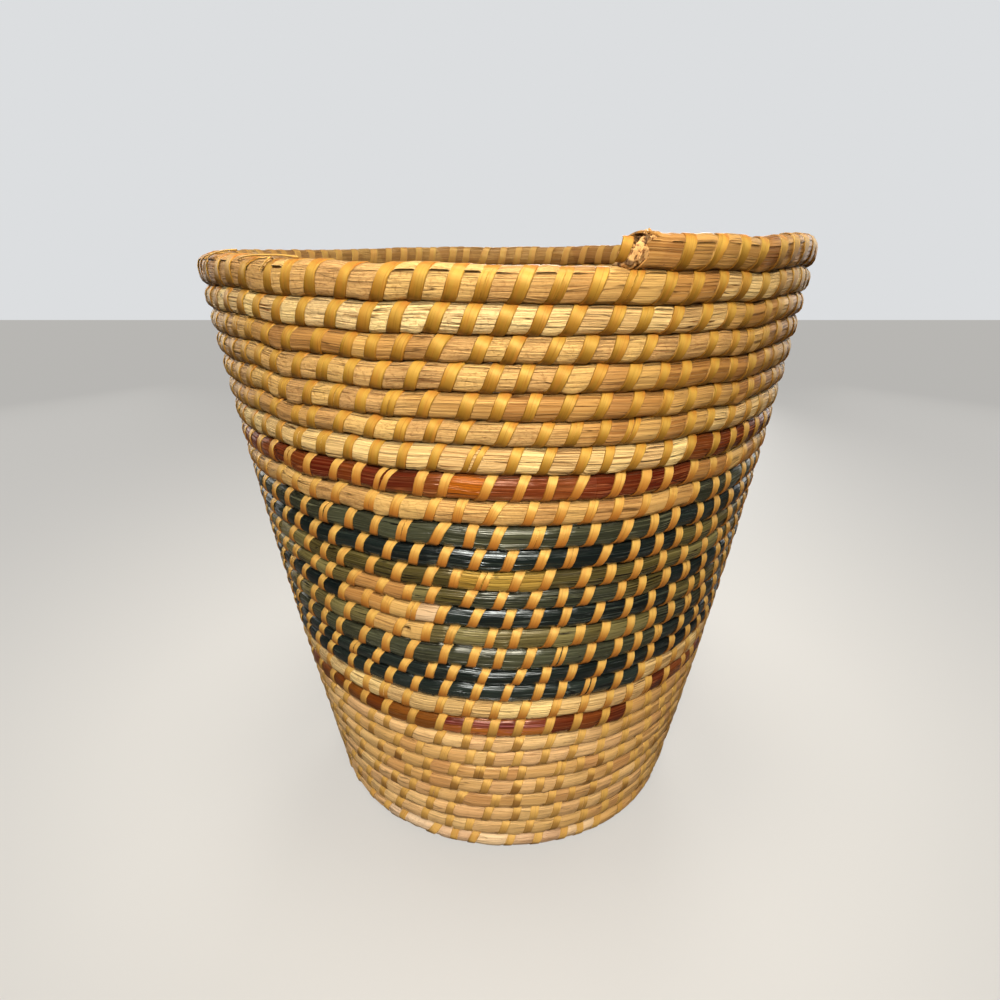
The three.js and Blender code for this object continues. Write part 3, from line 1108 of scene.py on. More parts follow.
@dataclass
class RopeBuilder:
    """Makes lengths of rope as closed meshes."""

    bundle: Bundle  # the rope's surface
    rings_per_stitch: int = 11  # how finely it is drawn along its length
    points_around: int = 34  # how finely it is drawn round its section
    edge_at: float = 0.1  # where the leaf's edge lies round the section below the rim, in turns
    rim_edge_at: float = 0.155  # the same on the rim
    edge_length: float = 60  # from one bend in it to the next
    edge_wander: float = 0.025  # how far it strays from there
    edge_fineness: float = 0.75  # how much closer the points lie at that edge: 0 is even
    pale_fade: float = 14  # how fast the leaf's pale edge on the rim takes on its own colour
    cup: Cup = Cup()  # the shape of a torn end

    def __post_init__(self) -> None:
        """Draws the noise that moves the leaf's edge and makes one material for each straw."""
        self.edge, self.fray = Grain(81, 1), Grain(83, 1)
        self.jitter = np.random.default_rng(82).uniform(-1, 1, 4096)
        self.materials = {straw: straw.value.material() for straw in Straw}

    def dress(self, mesh: Mesh, straw: Straw, node: str) -> None:
        """Gives a mesh the material of its straw and shows it in place of a node."""
        mesh.materials.append(self.materials[straw])
        show(mesh.name, mesh, straw.value.slot, node)

    def lay(self, name: str, first: float, last: float, straw: Straw, node: str, torn: bool = False) -> None:
        """Makes the rope between two stitches. Its rings lie along the stitches on the outside.

        Args:
            name: the piece's name.
            first: stitch number at its start.
            last: stitch number at its end.
            straw: what it is made of.
            node: the frame's node that it stands for.
            torn: whether it ends in a ragged cup, in place of a plain face that the next length hides.
        """
        cup, stitching, winding = self.cup, self.bundle.stitching, self.bundle.winding
        number = np.linspace(first, last, max(2, int(round((last - first) * self.rings_per_stitch))) + 1)
        girth_share, ragged = np.ones(len(number)), np.zeros(len(number))
        if torn:
            ragged = np.append(ease(1 - (last - number) / cup.fray_stitches), np.ones(len(cup.depths)))
            number = np.append(number, last - np.array(cup.depths))
            girth_share = np.append(girth_share, cup.girths)
        number, girth_share, ragged = number[:, None], girth_share[:, None], ragged[:, None]
        evenly = np.linspace(0, 1, self.points_around + 1)
        wrap = evenly - self.edge_fineness / TURN * np.sin(TURN * evenly)
        middle_turns = stitching.turn_of(number)
        on_rim = self.bundle.on_rim(middle_turns)
        edge_at = blend(self.edge_at, self.rim_edge_at, on_rim)
        edge = edge_at + self.edge_wander * self.edge.at(winding.length_at(middle_turns) / self.edge_length)
        angle = (edge + wrap) * TURN
        around = (angle / TURN) % 1
        in_front = ease(1.1 * np.cos(TURN * (around - cup.torn_side)) + 0.4)
        fray = ragged * (cup.raggedness * self.fray.at(around * cup.tears) - cup.torn_back * in_front)
        turns = stitching.turn_of(number + stitching.shear(number, around) + fray)
        points = self.bundle.surface(turns, angle, wrap, girth_share)
        mesh = make_tube(name, points)

        length = winding.length_at(turns)
        pale_lip = on_rim * np.exp((wrap - 1) * self.pale_fade)
        values = {
            "along": length * MM,
            "around": wrap * TURN * winding.rope_depth / 2 * MM,
            "girth": angle / TURN,
            "segment": 0.5 + 0.5 * self.jitter[np.floor(number).astype(int) % len(self.jitter)],
            "tone": np.maximum(self.bundle.leaf.tone(length, turns), pale_lip),
            "crinkle": self.bundle.leaf.crinkle(length, turns),
            # painted shade where turns touch, under the leaf's lifted edge and in the slit
            "painted_shade": self.bundle.painted_shade(turns, angle, wrap),
        }
        for label, value in values.items():
            each = np.broadcast_to(value, points.shape[:2]).ravel()
            values[label] = np.concatenate([each, each[:1], each[-1:]])
        lay_map(mesh, np.stack([values.pop("along"), values.pop("around")], axis=-1))
        for label, value in values.items():
            add_values(mesh, label, value)
        self.dress(mesh, straw, node)


@dataclass(frozen=True)
class Run:
    """A stretch of one turn that is wound in other straw than the rest of it."""

    turn: int  # number of the turn, counted up from the foot
    start: float  # degrees to the left of the front where it starts
    end: float  # degrees to the left of the front where it ends
    straw: Straw  # what it is made of


@dataclass
class Wall:
    """The wall of the basket: its turns in their colours."""

    builder: RopeBuilder  # makes the lengths of rope
    foot_turns: int = 8  # how many turns make the pale foot
    # The turns above it that aren't golden.
    banded: dict[Straw, tuple[int, ...]] = field(
        default_factory=lambda: {
            Straw.RED: (9, 21),
            Straw.PALE: (10, 22, 27),
            Straw.BLACK: (11, 12, 15, 18),
            Straw.SLATE: (13, 19),
            Straw.OLIVE: (14, 16, 17),
        }
    )
    # Shorter stretches in other straw.
    runs: tuple[Run, ...] = (
        Run(1, -27, 40, Straw.WORN),
        Run(9, -12, 13, Straw.CLARET),
        Run(9, 13, 56, Straw.BROWN),
        Run(14, 16, 31, Straw.GOLDEN),
        Run(15, 12, 16.5, Straw.WORN),
        Run(15, 16.5, 35, Straw.GOLDEN),
        Run(16, -20, 5, Straw.SLATE),
        Run(16, 17, 31, Straw.GOLDEN),
        Run(17, -9, 9, Straw.MOSS),
        Run(21, 2.5, 12, Straw.RUST),
    )

    def lengths(self, turn: int) -> list[tuple[int, int, Straw]]:
        """Splits a turn into its lengths of straw, each from one stitch to another.

        Args:
            turn: number of the turn, counted up from the foot.

        Returns:
            For each length its first stitch, its last stitch and its straw.
        """
        number_at = self.builder.bundle.stitching.number_at
        plain = Straw.PEACH if turn <= self.foot_turns else Straw.GOLDEN
        plain = next((straw for straw, turns in self.banded.items() if turn in turns), plain)
        parts, at = [], round(number_at(turn - 1))
        for run in (r for r in self.runs if r.turn == turn):
            start, end = (round(number_at(turn - 1 + FRONT_SHARE + d / 360)) for d in (run.start, run.end))
            if start > at:
                parts.append((at, start, plain))
            parts.append((max(start, at), end, run.straw))
            at = end
        return [*parts, (at, round(number_at(turn)), plain)]

    def build(self) -> None:
        """Makes every turn below the rim."""
        for turn in range(1, self.builder.bundle.winding.wall_turns):
            node = next(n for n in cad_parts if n.startswith(f"wall_coil_{turn:02d}"))
            parts = self.lengths(turn)
            for number, (first, last, straw) in enumerate(parts, 1):
                name = f"straw_turn_{turn:02d}" + (f"_length_{number}" if len(parts) > 1 else "")
                self.builder.lay(name, first, last, straw, node)


@dataclass
class Base:
    """The flat spiral that the basket stands on, with the rope's curled tip in its middle."""

    builder: RopeBuilder  # makes the lengths of rope
    tip_rings: int = 12  # how finely the tip is drawn from its underside to its top
    tip_points: int = 28  # how finely it is drawn round
    tip_overlap: float = 3.4  # how far the tip reaches into the rope round it, in mm
    tip_power: float = 0.6  # how full its rounded side is: 1 is a ball's, 0 is upright
    tip_level: float = 0.7  # how full its top and its underside are
    tip_lumps: float = 0.05  # size of its lumps, as a share of its own
    # What the finish reads on the tip, the same at each point.
    LOOK = {"girth": 0.25, "segment": 0.4, "tone": 0.5, "crinkle": 0.8}

    def build(self) -> None:
        """Makes the turns of the base and the tip."""
        stitching = self.builder.bundle.stitching
        nodes = sorted(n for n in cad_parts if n.startswith("base_coil_"))
        first = 0
        for number, node in enumerate(nodes, 1):
            last = round(stitching.number_at(number - len(nodes)))
            self.builder.lay(f"straw_base_turn_{number}", first, last, Straw.PEACH, node)
            first = last
        self.build_tip()

    def build_tip(self) -> None:
        """Makes the rounded tip that fills the hollow before the rope's first bend."""
        low, high = (Vector(corner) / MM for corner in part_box("base_start_tip"))
        middle, half = (low + high) / 2, (high - low) / 2
        rise = np.linspace(-math.pi / 2, math.pi / 2, self.tip_rings)[:, None]
        angle = np.linspace(0, TURN, self.tip_points, endpoint=False)
        lumpy = 1 + self.tip_lumps * Grain(91, 7).at(rise * 2, angle / TURN)
        flat = np.abs(np.cos(rise)) ** self.tip_power * lumpy
        x = middle.x + (half.x + self.tip_overlap) * flat * np.cos(angle)
        y = middle.y + (half.y + self.tip_overlap) * flat * np.sin(angle)
        level = np.sign(np.sin(rise)) * np.abs(np.sin(rise)) ** self.tip_level
        z = middle.z + half.z * level * np.ones_like(angle)
        points = np.stack([x, y, z], axis=-1).reshape(-1, 3)
        facing_out = quads(self.tip_rings, self.tip_points)[:, [0, 3, 2, 1]]
        mesh = make_mesh("straw_base_tip", points, facing_out)
        for name, value in self.LOOK.items():
            add_values(mesh, name, np.full(len(points), value))
        lay_map(mesh, points[:, :2] * MM)
        self.builder.dress(mesh, Straw.PEACH, "base_start_tip")


class NodeTool:
    """A geometry node tree with named inputs, used to make one plain mesh after another."""

    def __init__(self, name: str, numbers: Sequence[str]) -> None:
        """Makes the tree and its inputs.

        Args:
            name: the tree's name.
            numbers: names of its own inputs, beside the seed, the sharp bend and the finish.
        """
        self.tree = bpy.data.node_groups.new(name, "GeometryNodeTree")
        face = self.tree.interface
        face.new_socket("Geometry", in_out="INPUT", socket_type="NodeSocketGeometry")
        kinds = {label: "Float" for label in (*numbers, "Sharp Bend")} | {"Seed": "Int", "Finish": "Material"}
        self.sockets = {
            label: face.new_socket(label, in_out="INPUT", socket_type="NodeSocket" + kind).identifier
            for label, kind in kinds.items()
        }
        face.new_socket("Geometry", in_out="OUTPUT", socket_type="NodeSocketGeometry")
        self.given = self.tree.nodes.new("NodeGroupInput").outputs

    def close(self, made: Socket) -> None:
        """Ends the tree with real, dressed geometry, flat across its sharp edges.

        Args:
            made: what the tree has made.
        """
        tree = self.tree
        real = add_node(tree, "GeometryNodeRealizeInstances", (made,))
        smooth = add_node(tree, "GeometryNodeSetShadeSmooth", (real,))
        bend = add_node(tree, "GeometryNodeInputMeshEdgeAngle")
        sharp = add_node(tree, MATH, (bend, self.given["Sharp Bend"]), operation="GREATER_THAN")
        edged = add_node(tree, "GeometryNodeSetShadeSmooth", (smooth, sharp, False), domain="EDGE")
        dressed = {"Geometry": edged, "Material": self.given["Finish"]}
        add_node(tree, "NodeGroupOutput", (add_node(tree, "GeometryNodeSetMaterial", dressed),))

    def apply(self, name: str, guide: Mesh, settings: dict[str, object]) -> Mesh:
        """Runs the tree on a mesh.

        Args:
            name: the new mesh's name.
            guide: the mesh that the tree reads, which is deleted.
            settings: the tree's inputs by name.

        Returns:
            A plain mesh, with nothing left to evaluate.
        """
        carrier = put(name + "_guide", guide)
        modifier = carrier.modifiers.new(self.tree.name, "NODES")
        modifier.node_group = self.tree
        for label, value in settings.items():
            modifier[self.sockets[label]] = value
        bpy.context.view_layer.update()
        evaluated = carrier.evaluated_get(bpy.context.evaluated_depsgraph_get())
        mesh = bpy.data.meshes.new_from_object(evaluated)
        mesh.name = name
        carrier.modifiers.clear()
        bpy.data.objects.remove(carrier)
        bpy.data.meshes.remove(guide)
        return mesh


class StripTool(NodeTool):
    """Sweeps a flat strip with bevelled edges along every polyline of a mesh."""

    def __init__(self) -> None:
        """Builds the tree."""
        super().__init__("Strip along a path", ("Width", "Thickness", "Flat Share", "Width Spread"))
        tree, given = self.tree, self.given
        width, thickness, spread = given["Width"], given["Thickness"], given["Width Spread"]
        half = add_node(tree, MATH, (width, 0.5), operation="MULTIPLY")
        flat = add_node(tree, MATH, (half, given["Flat Share"]), operation="MULTIPLY")
        corners = {}
        low, high = (0.0, half), (thickness, flat)
        for (height, reach), way in ((low, -1), (high, -1), (high, 1), (low, 1)):
            side = add_node(tree, MATH, (reach, way), operation="MULTIPLY")
            corners[f"Point {len(corners) + 1}"] = add_node(tree, COMBINE, (height, side))
        outline = add_node(tree, "GeometryNodeCurvePrimitiveQuadrilateral", corners, mode="POINTS")
        here = add_node(tree, "GeometryNodeInputPosition")
        side = add_node(tree, "ShaderNodeSeparateXYZ", (here,), 1)
        across = add_node(tree, MATH, (side, width), operation="DIVIDE")
        mark = {"Geometry": outline, "Name": "across", "Value": across}
        marked = add_node(tree, "GeometryNodeStoreNamedAttribute", mark, data_type="FLOAT", domain="POINT")

        path = add_node(tree, "GeometryNodeMeshToCurve", (given["Geometry"],))
        read = "GeometryNodeInputNamedAttribute"
        outward = add_node(tree, read, ("outward",), data_type="FLOAT_VECTOR")
        breadth = add_node(tree, read, ("breadth",), data_type="FLOAT")
        turned = add_node(tree, "GeometryNodeSetCurveNormal", {"Curve": path, "Normal": outward}, mode="FREE")
        strand = add_node(tree, "GeometryNodeCurveOfPoint", {}, "Curve Index")
        least, most = (add_node(tree, MATH, (1.0, spread), operation=way) for way in ("SUBTRACT", "ADD"))
        draw = {2: least, 3: most, "ID": strand, "Seed": given["Seed"]}
        uneven = add_node(tree, RANDOM, draw, 1, data_type="FLOAT")
        size = add_node(tree, MATH, (breadth, uneven), operation="MULTIPLY")
        sweep = {"Curve": turned, "Profile Curve": marked, "Scale": size, "Fill Caps": True}
        self.close(add_node(tree, "GeometryNodeCurveToMesh", sweep))

    def along(self, name: str, strands: Sequence[Strand], settings: dict[str, object]) -> Mesh:
        """Sweeps the strip along some paths.

        Args:
            name: the new mesh's name.
            strands: the paths and what is stored along them.
            settings: the tree's inputs by name.

        Returns:
            A plain mesh.
        """
        guide = bpy.data.meshes.new(name + "_guide")
        points = np.concatenate([path for path, _ in strands])
        ends = np.cumsum([len(path) for path, _ in strands])
        starts = np.arange(len(points) - 1)
        links = starts[~np.isin(starts + 1, ends)]
        guide.vertices.add(len(points))
        guide.vertices.foreach_set("co", (points * MM).ravel())
        guide.edges.add(len(links))
        guide.edges.foreach_set("vertices", np.stack([links, links + 1], axis=-1).ravel().astype(np.int32))
        for label in strands[0][1]:
            shape = (3,) if label == "outward" else ()
            each = [np.broadcast_to(values[label], (len(path), *shape)) for path, values in strands]
            add_values(guide, label, np.concatenate(each))
        return self.apply(name, guide, settings)


class StemTool(NodeTool):
    """Stands broken stems close together on a surface, each leaning its own way."""

    DENSITY = 4e6  # stems a square metre, before those that stand too close together are left out
    SIDES = 6  # sides of a stem
    # Least and greatest size of a stem, as shares across it both ways and along it.
    SIZES = {0: (0.6, 0.6, 0.6), 1: (1.5, 1.1, 1.15)}

    def __init__(self) -> None:
        """Builds the tree."""
        super().__init__("Stems on a surface", ("Spacing", "Stem Radius", "Stem Length", "Lean"))
        tree, given = self.tree, self.given
        seed, lean = given["Seed"], given["Lean"]
        spread = {"Mesh": given["Geometry"], "Distance Min": given["Spacing"], "Seed": seed}
        spread["Density Max"] = self.DENSITY
        points = add_node(tree, "GeometryNodeDistributePointsOnFaces", spread, distribute_method="POISSON")
        stem = {"Vertices": self.SIDES, "Radius": given["Stem Radius"], "Depth": given["Stem Length"]}
        cylinder = add_node(tree, "GeometryNodeMeshCylinder", stem)
        back = add_node(tree, MATH, (lean, -1.0), operation="MULTIPLY")
        turn = {
            0: add_node(tree, COMBINE, (back, back, 0.0)),
            1: add_node(tree, COMBINE, (lean, lean, TURN)),
            "Seed": seed,
        }
        euler = add_node(tree, RANDOM, turn, data_type="FLOAT_VECTOR")
        tipped = add_node(tree, "FunctionNodeEulerToRotation", (euler,))
        aim = (points.node.outputs["Rotation"], tipped)
        rotation = add_node(tree, "FunctionNodeRotateRotation", aim, rotation_space="LOCAL")
        scale = add_node(tree, RANDOM, {**self.SIZES, "Seed": seed}, data_type="FLOAT_VECTOR")
        stand = {"Points": points, "Instance": cylinder, "Rotation": rotation, "Scale": scale}
        self.close(add_node(tree, "GeometryNodeInstanceOnPoints", stand))


# A strip's points in mm, and what the tool and the finish read along it: one value, or one for each point.
Strand = tuple[Array, dict[str, Array | float]]


@dataclass
class Lacing:
    """The cane that laces the turns together: one strip of it round the rope at every stitch."""

    bundle: Bundle  # the rope's surface
    width: float = 5.1  # of a strip near the rim
    lower_share: float = 0.84  # how wide a strip is from the foot to the bands, as a share of that
    wider_from: float = 20  # turn from which it widens
    wider_fade: float = 6  # turns in which it does
    aged_to: float = 6.5  # turn up to which it is worn
    aged_fade: float = 3  # turns in which that ends
    wear: tuple[float, float] = (0.6, 1.0)  # least and greatest wear there
    sizes: tuple[float, float] = (0.93, 1.05)  # least and greatest width that is drawn, as shares
    bands: tuple[float, float] = (8, 21)  # turns between which it lies on dyed straw
    thickness: float = 0.42  # of a strip
    flat_share: float = 0.86  # share of its width between the bevelled edges
    edge_bend: float = 44  # degrees of bend from which an edge of it is drawn sharp
    width_spread: float = 0.06  # how much one width differs from the next, as a share
    lift: float = 0.12  # how far its underside stands off the straw
    points_each: int = 17  # points along each strip
    doubled: float = 0.1  # share of the stitches that are two narrow strips side by side
    halved: float = 0.56  # width of each of those two, as a share of a whole one
    apart: float = 0.1  # how far each of them lies from the middle, in stitches
    group: int = 480  # most stitches in one piece

    def __post_init__(self) -> None:
        """Prepares the strip tool and the finish."""
        self.tool = StripTool()
        self.finish = CaneFinish()
        self.material = self.finish.material()

    def strip(
        self,
        number: float,
        values: dict[str, float],
        ends: tuple[float, float] = (-0.5, 0.5),
        slack: float = 0.0,
        slant: float = 1.0,
    ) -> Strand:
        """The path of one stitch: from under the rope up the inside, over the top and down the outside.

        Args:
            number: stitch number where it crosses the middle of the outside.
            values: what the tool and the finish read along the whole strip.
            ends: where it starts and ends round the rope, in turns.
            slack: how far it stands off the rope, in mm.
            slant: how far it runs along the rope, as a share of the usual.

        Returns:
            Its points, and its values with the direction away from the rope and the place round it.
        """
        stitching, winding = self.bundle.stitching, self.bundle.winding
        around = np.linspace(*ends, self.points_each)
        angle = around * TURN
        turns = stitching.turn_of(number + slant * stitching.lead(number, around))
        up, out = self.bundle.section(turns, angle)
        size = 1 + (self.bundle.waist(turns, angle) + self.lift + slack) / np.hypot(up, out)
        points = winding.place(turns, up * size, out * size)
        points[:, 2] = np.maximum(points[:, 2], self.bundle.pressed)
        away = points - winding.place(turns)
        away /= np.linalg.norm(away, axis=1, keepdims=True)
        return points, {**values, "outward": away, "girth": around}

    def build(self, name: str, first: int, last: int, seed: int, *nodes: str) -> None:
        """Makes a piece of a run of stitches.

        Args:
            name: the piece's name.
            first: the first stitch.
            last: the stitch after the last one.
            seed: number that fixes what varies among them.
            *nodes: the frame's nodes that it stands for.
        """
        rng = np.random.default_rng(seed)
        strands = []
        for stitch in range(first, last):
            tone, split, size = rng.uniform(), rng.uniform() < self.doubled, rng.uniform(*self.sizes)
            turn = self.bundle.stitching.turn_of(stitch)
            wider = ease((turn - self.wider_from) / self.wider_fade)
            size *= blend(self.lower_share, 1, wider)
            values = {
                "breadth": size * (self.halved if split else 1.0),
                "tone": tone,
                "aged": rng.uniform(*self.wear) * up_to(turn, self.aged_to, self.aged_fade),
                "on_dyed": within(turn, self.bands),
            }
            for offset in (-self.apart, self.apart) if split else (0.0,):
                strands.append(self.strip(stitch + offset, values))
        self.sweep(name, strands, seed, self.width, self.thickness, *nodes)

    def sweep(
        self, name: str, strands: list[Strand], seed: int, width: float, thickness: float, *nodes: str
    ) -> None:
        """Sweeps cane along some paths and puts it in the scene.

        Args:
            name: the piece's name.
            strands: the strips.
            seed: number that fixes what varies among them.
            width: of a strip in mm.
            thickness: of a strip in mm.
            *nodes: the frame's nodes that the piece stands for.
        """
        settings = {
            "Width": width * MM,
            "Thickness": thickness * MM,
            "Flat Share": self.flat_share,
            "Width Spread": self.width_spread,
            "Seed": seed,
            "Sharp Bend": math.radians(self.edge_bend),
            "Finish": self.material,
        }
        show(name, self.tool.along(name, strands, settings), self.finish.slot, *nodes)


@dataclass
class TornEnd:
    """The rope's torn end on the rim: crushed pith, broken stems, a pulled loop of cane, loose fibres."""

    lacing: Lacing  # the cane and the rope that it lies on
    last: float  # stitch number at which the sheath is torn
    pith_depth: float = 1.0  # how deep in the sheath the crushed pith starts, in stitches
    pith_reach: float = -0.08  # how far it stands out past the sheath, in stitches
    pith_girth: float = 0.9  # share of the rope's girth that it fills
    pith_rough: float = 1.4  # how crushed it is, in mm
    pith_lumps: tuple[float, float] = (4.3, 13.1)  # how many coarse and fine lumps it has in a stitch
    pith_fray: float = 0.08  # how far its face strays along the rope, in stitches
    bed_depth: float = 0.4  # how deep in the sheath the middles of the stems lie, in stitches
    bed_girth: float = 0.7  # share of the rope's girth that they fill
    stem_length: float = 8.5  # in mm
    stem_radius: float = 0.5  # in mm
    stem_spacing: float = 1.1  # in mm
    lean: float = 9  # degrees that a stem leans
    loop_at: float = 0.18  # how far past the torn end the loop lies, in stitches
    fibre_width: float = 0.7  # of a loose fibre, in mm
    fibre_thickness: float = 0.45  # of a loose fibre, in mm

    # Each fibre's arc as four places in degrees left of the front, and mm up and out from the rope's middle.
    FIBRES = (
        ((57, -1.5, 6.2), (55.5, 5, 7), (52, 8.5, 4.5), (47, 7.5, -1)),
        ((58.5, 0.5, 6.0), (56, 6, 7.4), (54, 7.5, 5), (51, 6.6, 0)),
        ((43, 5.2, 4.4), (41, 8.0, 5.2), (36, 9.2, 2.5), (31, 6.8, 0.5)),
        ((36, 6.6, 1.5), (35, 8.2, 3.5), (35.6, 7.0, 5.4), (37, 3.0, 6.4)),
    )

    def __post_init__(self) -> None:
        """Prepares the finish of the broken stems."""
        self.bundle, self.finish = self.lacing.bundle, StemFinish()
        self.material = self.finish.material()

    def build(self) -> None:
        """Makes the pith, the stems, the loop and the fibres."""
        self.build_pith()
        self.build_stems()
        self.build_loop()
        self.build_fibres()

    def rings(self, number: Array | float, around: Array, size: Array | float, stray: Array | float) -> Array:
        """Finds slanted rings of points inside the sheath.

        Args:
            number: stitch number of each.
            around: place round the rope, in turns.
            size: share of the rope's girth.
            stray: how far the points stray along the rope, in stitches.

        Returns:
            Points in mm.
        """
        stitching = self.bundle.stitching
        turns = stitching.turn_of(number + stray + stitching.shear(number, around))
        return self.bundle.surface(turns, around * TURN, 0.5, size)

    def build_pith(self) -> None:
        """Makes the crushed pith that fills the sheath and shows where it is torn away."""
        along = np.linspace(-self.pith_depth, self.pith_reach, 20)
        dome = np.linspace(0.86, 0.12, 7)
        number = self.last + np.concatenate([along, self.pith_reach + 0.05 * np.sin(9 * dome)])[:, None]
        girth = self.pith_girth * np.concatenate([np.ones(len(along)), dome])[:, None]
        around = np.linspace(0, 1, 44, endpoint=False)
        coarse, fine = Grain(92, 7), Grain(93, 17)
        few, many = self.pith_lumps
        crushed = coarse.at(number * few, around) + 0.8 * fine.at(number * many, around)
        stray = self.pith_fray * coarse.at(number * 7.9 + 50, around) * (number > self.last - 0.4)
        rough = self.pith_rough / (self.bundle.winding.rope_depth / 2)
        size = girth * (1 + rough * np.minimum(crushed, 0.35))
        mesh = make_tube("straw_torn_end_pith", self.rings(number, around, size, stray))
        mesh.materials.append(self.material)
        show("straw_torn_end_pith", mesh, self.finish.slot, "rim_end_stems")

    def build_stems(self) -> None:
        """Stands the broken stems in the torn sheath."""
        ring = self.rings(self.last, np.linspace(0, 1, 24, endpoint=False), self.bed_girth, -self.bed_depth)
        middle, corners = ring.mean(axis=0), np.arange(len(ring))
        fan = np.stack([np.roll(corners, -1), corners, np.full(len(ring), len(ring))], axis=-1)
        bed = make_mesh("stem_bed", np.vstack([ring, middle]), fan)
        ahead = self.bundle.winding.place(self.bundle.stitching.turn_of(self.last + 1)) - middle
        if np.dot(np.array(bed.polygons[0].normal), ahead) < 0:
            bed.flip_normals()
        settings = {
            "Spacing": self.stem_spacing * MM,
            "Stem Radius": self.stem_radius * MM,
            "Stem Length": self.stem_length * MM,
            "Lean": math.radians(self.lean),
            "Seed": 7,
            "Sharp Bend": math.radians(50),
            "Finish": self.material,
        }
        mesh = StemTool().apply("straw_torn_end_stems", bed, settings)
        show("straw_torn_end_stems", mesh, self.finish.slot, "rim_end_stems")

    def build_loop(self) -> None:
        """Makes the loop of cane that has come off the torn end and stands beside it."""
        lacing = self.lacing
        values = {"breadth": 0.78, "tone": 0.2, "aged": 0.0, "on_dyed": 0.0}
        loop = lacing.strip(self.last + self.loop_at, values, (0.0, 0.42), slack=-2.0, slant=0.5)
        lacing.sweep("cane_pulled_loop", [loop], 31, lacing.width, lacing.thickness)

    def build_fibres(self) -> None:
        """Makes the loose fibres that stand up from the rim."""
        winding = self.bundle.winding
        front_turn = winding.wall_turns - 1 + FRONT_SHARE
        share = np.linspace(0, 1, 16)[:, None]
        rest = 1 - share
        weights = np.hstack([rest**3, 3 * share * rest**2, 3 * share**2 * rest, share**3])
        values = {"breadth": 1.0, "tone": 0.0, "girth": 0.1, "aged": 0.3, "on_dyed": 1.0}
        values["outward"] = (0.0, -0.6, 0.8)
        strands = []
        for arc in self.FIBRES:
            left, up, out = (weights @ np.array(arc)).T
            strands.append((winding.place(front_turn + left / 360, up, out), values))
        self.lacing.sweep("straw_loose_fibres", strands, 32, self.fibre_width, self.fibre_thickness)


@dataclass(frozen=True)
class Light:
    """A square soft light."""

    name: str  # its name
    place: tuple[float, float, float]  # where it stands, in metres
    target: tuple[float, float, float]  # the point that it faces
    size: float  # its side in metres
    watts: float  # its power
    colour: str  # its colour
    spread: float  # angle in degrees into which it shines

    def build(self) -> None:
        """Puts the light in the scene."""
        lamp = bpy.data.lights.new(self.name, "AREA")
        lamp.size, lamp.energy, lamp.color = self.size, self.watts, linear(self.colour)[:3]
        lamp.spread = math.radians(self.spread)
        light = put(self.name, lamp)
        light.location = self.place
        light.visible_camera = False
        light.rotation_euler = (Vector(self.target) - Vector(self.place)).to_track_quat("-Z", "Y").to_euler()


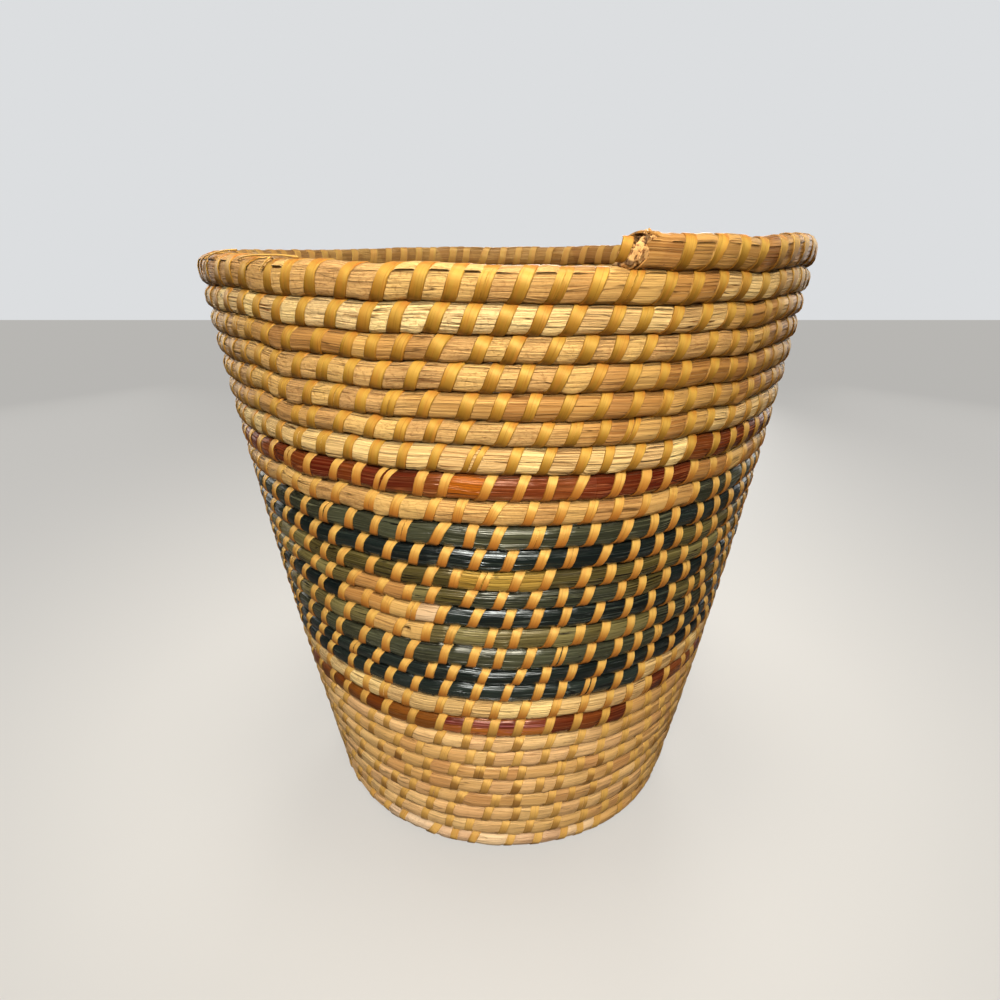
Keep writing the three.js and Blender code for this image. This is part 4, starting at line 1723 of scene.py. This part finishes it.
@dataclass
class Studio:
    """A plain pale floor, soft light and the camera."""

    camera_place: tuple[float, float, float] = (-0.0032, -0.3965, 0.3062)  # in metres
    camera_down: float = 19.55  # degrees that the camera looks down
    lens: float = 25.24  # focal length in mm
    sensor: float = 36.0  # width of the camera's sensor in mm
    walls: str = "dcdee0"  # the pale walls
    ambient: float = 0.04  # how strongly they light the basket, as a share of how bright they look
    floor_reach: float = 3.0  # half the floor's side, in metres
    # The lamps, each with its own place, target, size, power, colour and spread.
    lights: tuple[Light, ...] = (
        Light("Key", (0, -0.68, 0.6), (0, -0.05, 0.14), 0.42, 1.2, "fff3e2", 60),
        Light("Glint", (-0.08, -0.68, 0.6), (0, -0.05, 0.14), 0.1, 0.3, "fff6ea", 70),
        Light("Top", (0, -0.1, 1.3), (0, 0.02, 0.1), 0.4, 1.2, "fbf6ec", 50),
        Light("Left", (-1.1, 0.95, 0.5), (0, 0, 0.15), 0.9, 1.5, "f2f0ec", 80),
        Light("Right", (1.1, 0.95, 0.5), (0, 0, 0.15), 0.9, 1.4, "f2f0ec", 80),
        Light("Back", (0.25, 1.25, 0.32), (0, 0.05, 0.15), 0.6, 4, "f4f2ee", 80),
    )

    def build(self) -> None:
        """Makes the camera, the floor, the lights and the pale walls."""
        scene = bpy.context.scene
        lens = bpy.data.cameras.new("Camera")
        lens.lens, lens.sensor_width, lens.clip_start = self.lens, self.sensor, 0.01
        scene.camera = put("Camera", lens)
        scene.camera.location = self.camera_place
        scene.camera.rotation_euler = (math.radians(90 - self.camera_down), 0, 0)
        scene.view_settings.view_transform = "Standard"
        corners = np.array([[-1, -1, 0], [1, -1, 0], [1, 1, 0], [-1, 1, 0]]) * self.floor_reach / MM
        floor = make_mesh("floor", corners, np.array([[0, 1, 2, 3]]))
        floor.materials.append(FloorPaint().material())
        put("floor", floor)
        for light in self.lights:
            light.build()
        scene.world = bpy.data.worlds.new("Studio")
        scene.world.use_nodes = True
        tree = scene.world.node_tree
        tree.nodes.clear()
        seen = add_node(tree, "ShaderNodeLightPath", (), "Is Camera Ray")
        strength = add_node(tree, RAMP, (seen, 0, 1, self.ambient, 1))
        walls = add_node(tree, "ShaderNodeBackground", {"Color": linear(self.walls), "Strength": strength})
        add_node(tree, "ShaderNodeOutputWorld", {"Surface": walls})


def main() -> None:
    """Builds the basket and its setting."""
    logging.basicConfig(level=logging.INFO, format="%(name)s: %(message)s")
    winding = Winding()
    stitching = Stitching(winding)
    bundle = Bundle(stitching)
    builder = RopeBuilder(bundle)
    lacing = Lacing(bundle)
    Studio().build()
    Base(builder).build()
    Wall(builder).build()

    foot_stitch, rim_start = (round(stitching.number_at(turn)) for turn in (0, winding.wall_turns - 1))
    sheath_overhang = 0.5  # stitches that the sheath reaches past the winding's end
    rim_end = stitching.number_at(winding.end) + sheath_overhang
    builder.lay("straw_rim", rim_start, rim_end, Straw.GOLDEN, "rim_coil", torn=True)
    TornEnd(lacing, rim_end).build()

    lacing.build("cane_base", 1, foot_stitch, 101)
    for number, low in enumerate(range(foot_stitch, rim_start, lacing.group), 1):
        lacing.build(f"cane_wall_{number}", low, min(low + lacing.group, rim_start), 101 + number)
    bare_stub = 1.1  # stitches before the torn edge that carry no cane
    lacing.build("cane_rim", rim_start, math.floor(rim_end - bare_stub) + 1, 201, "rim_lacing")


if __name__ == "__main__":
    main()
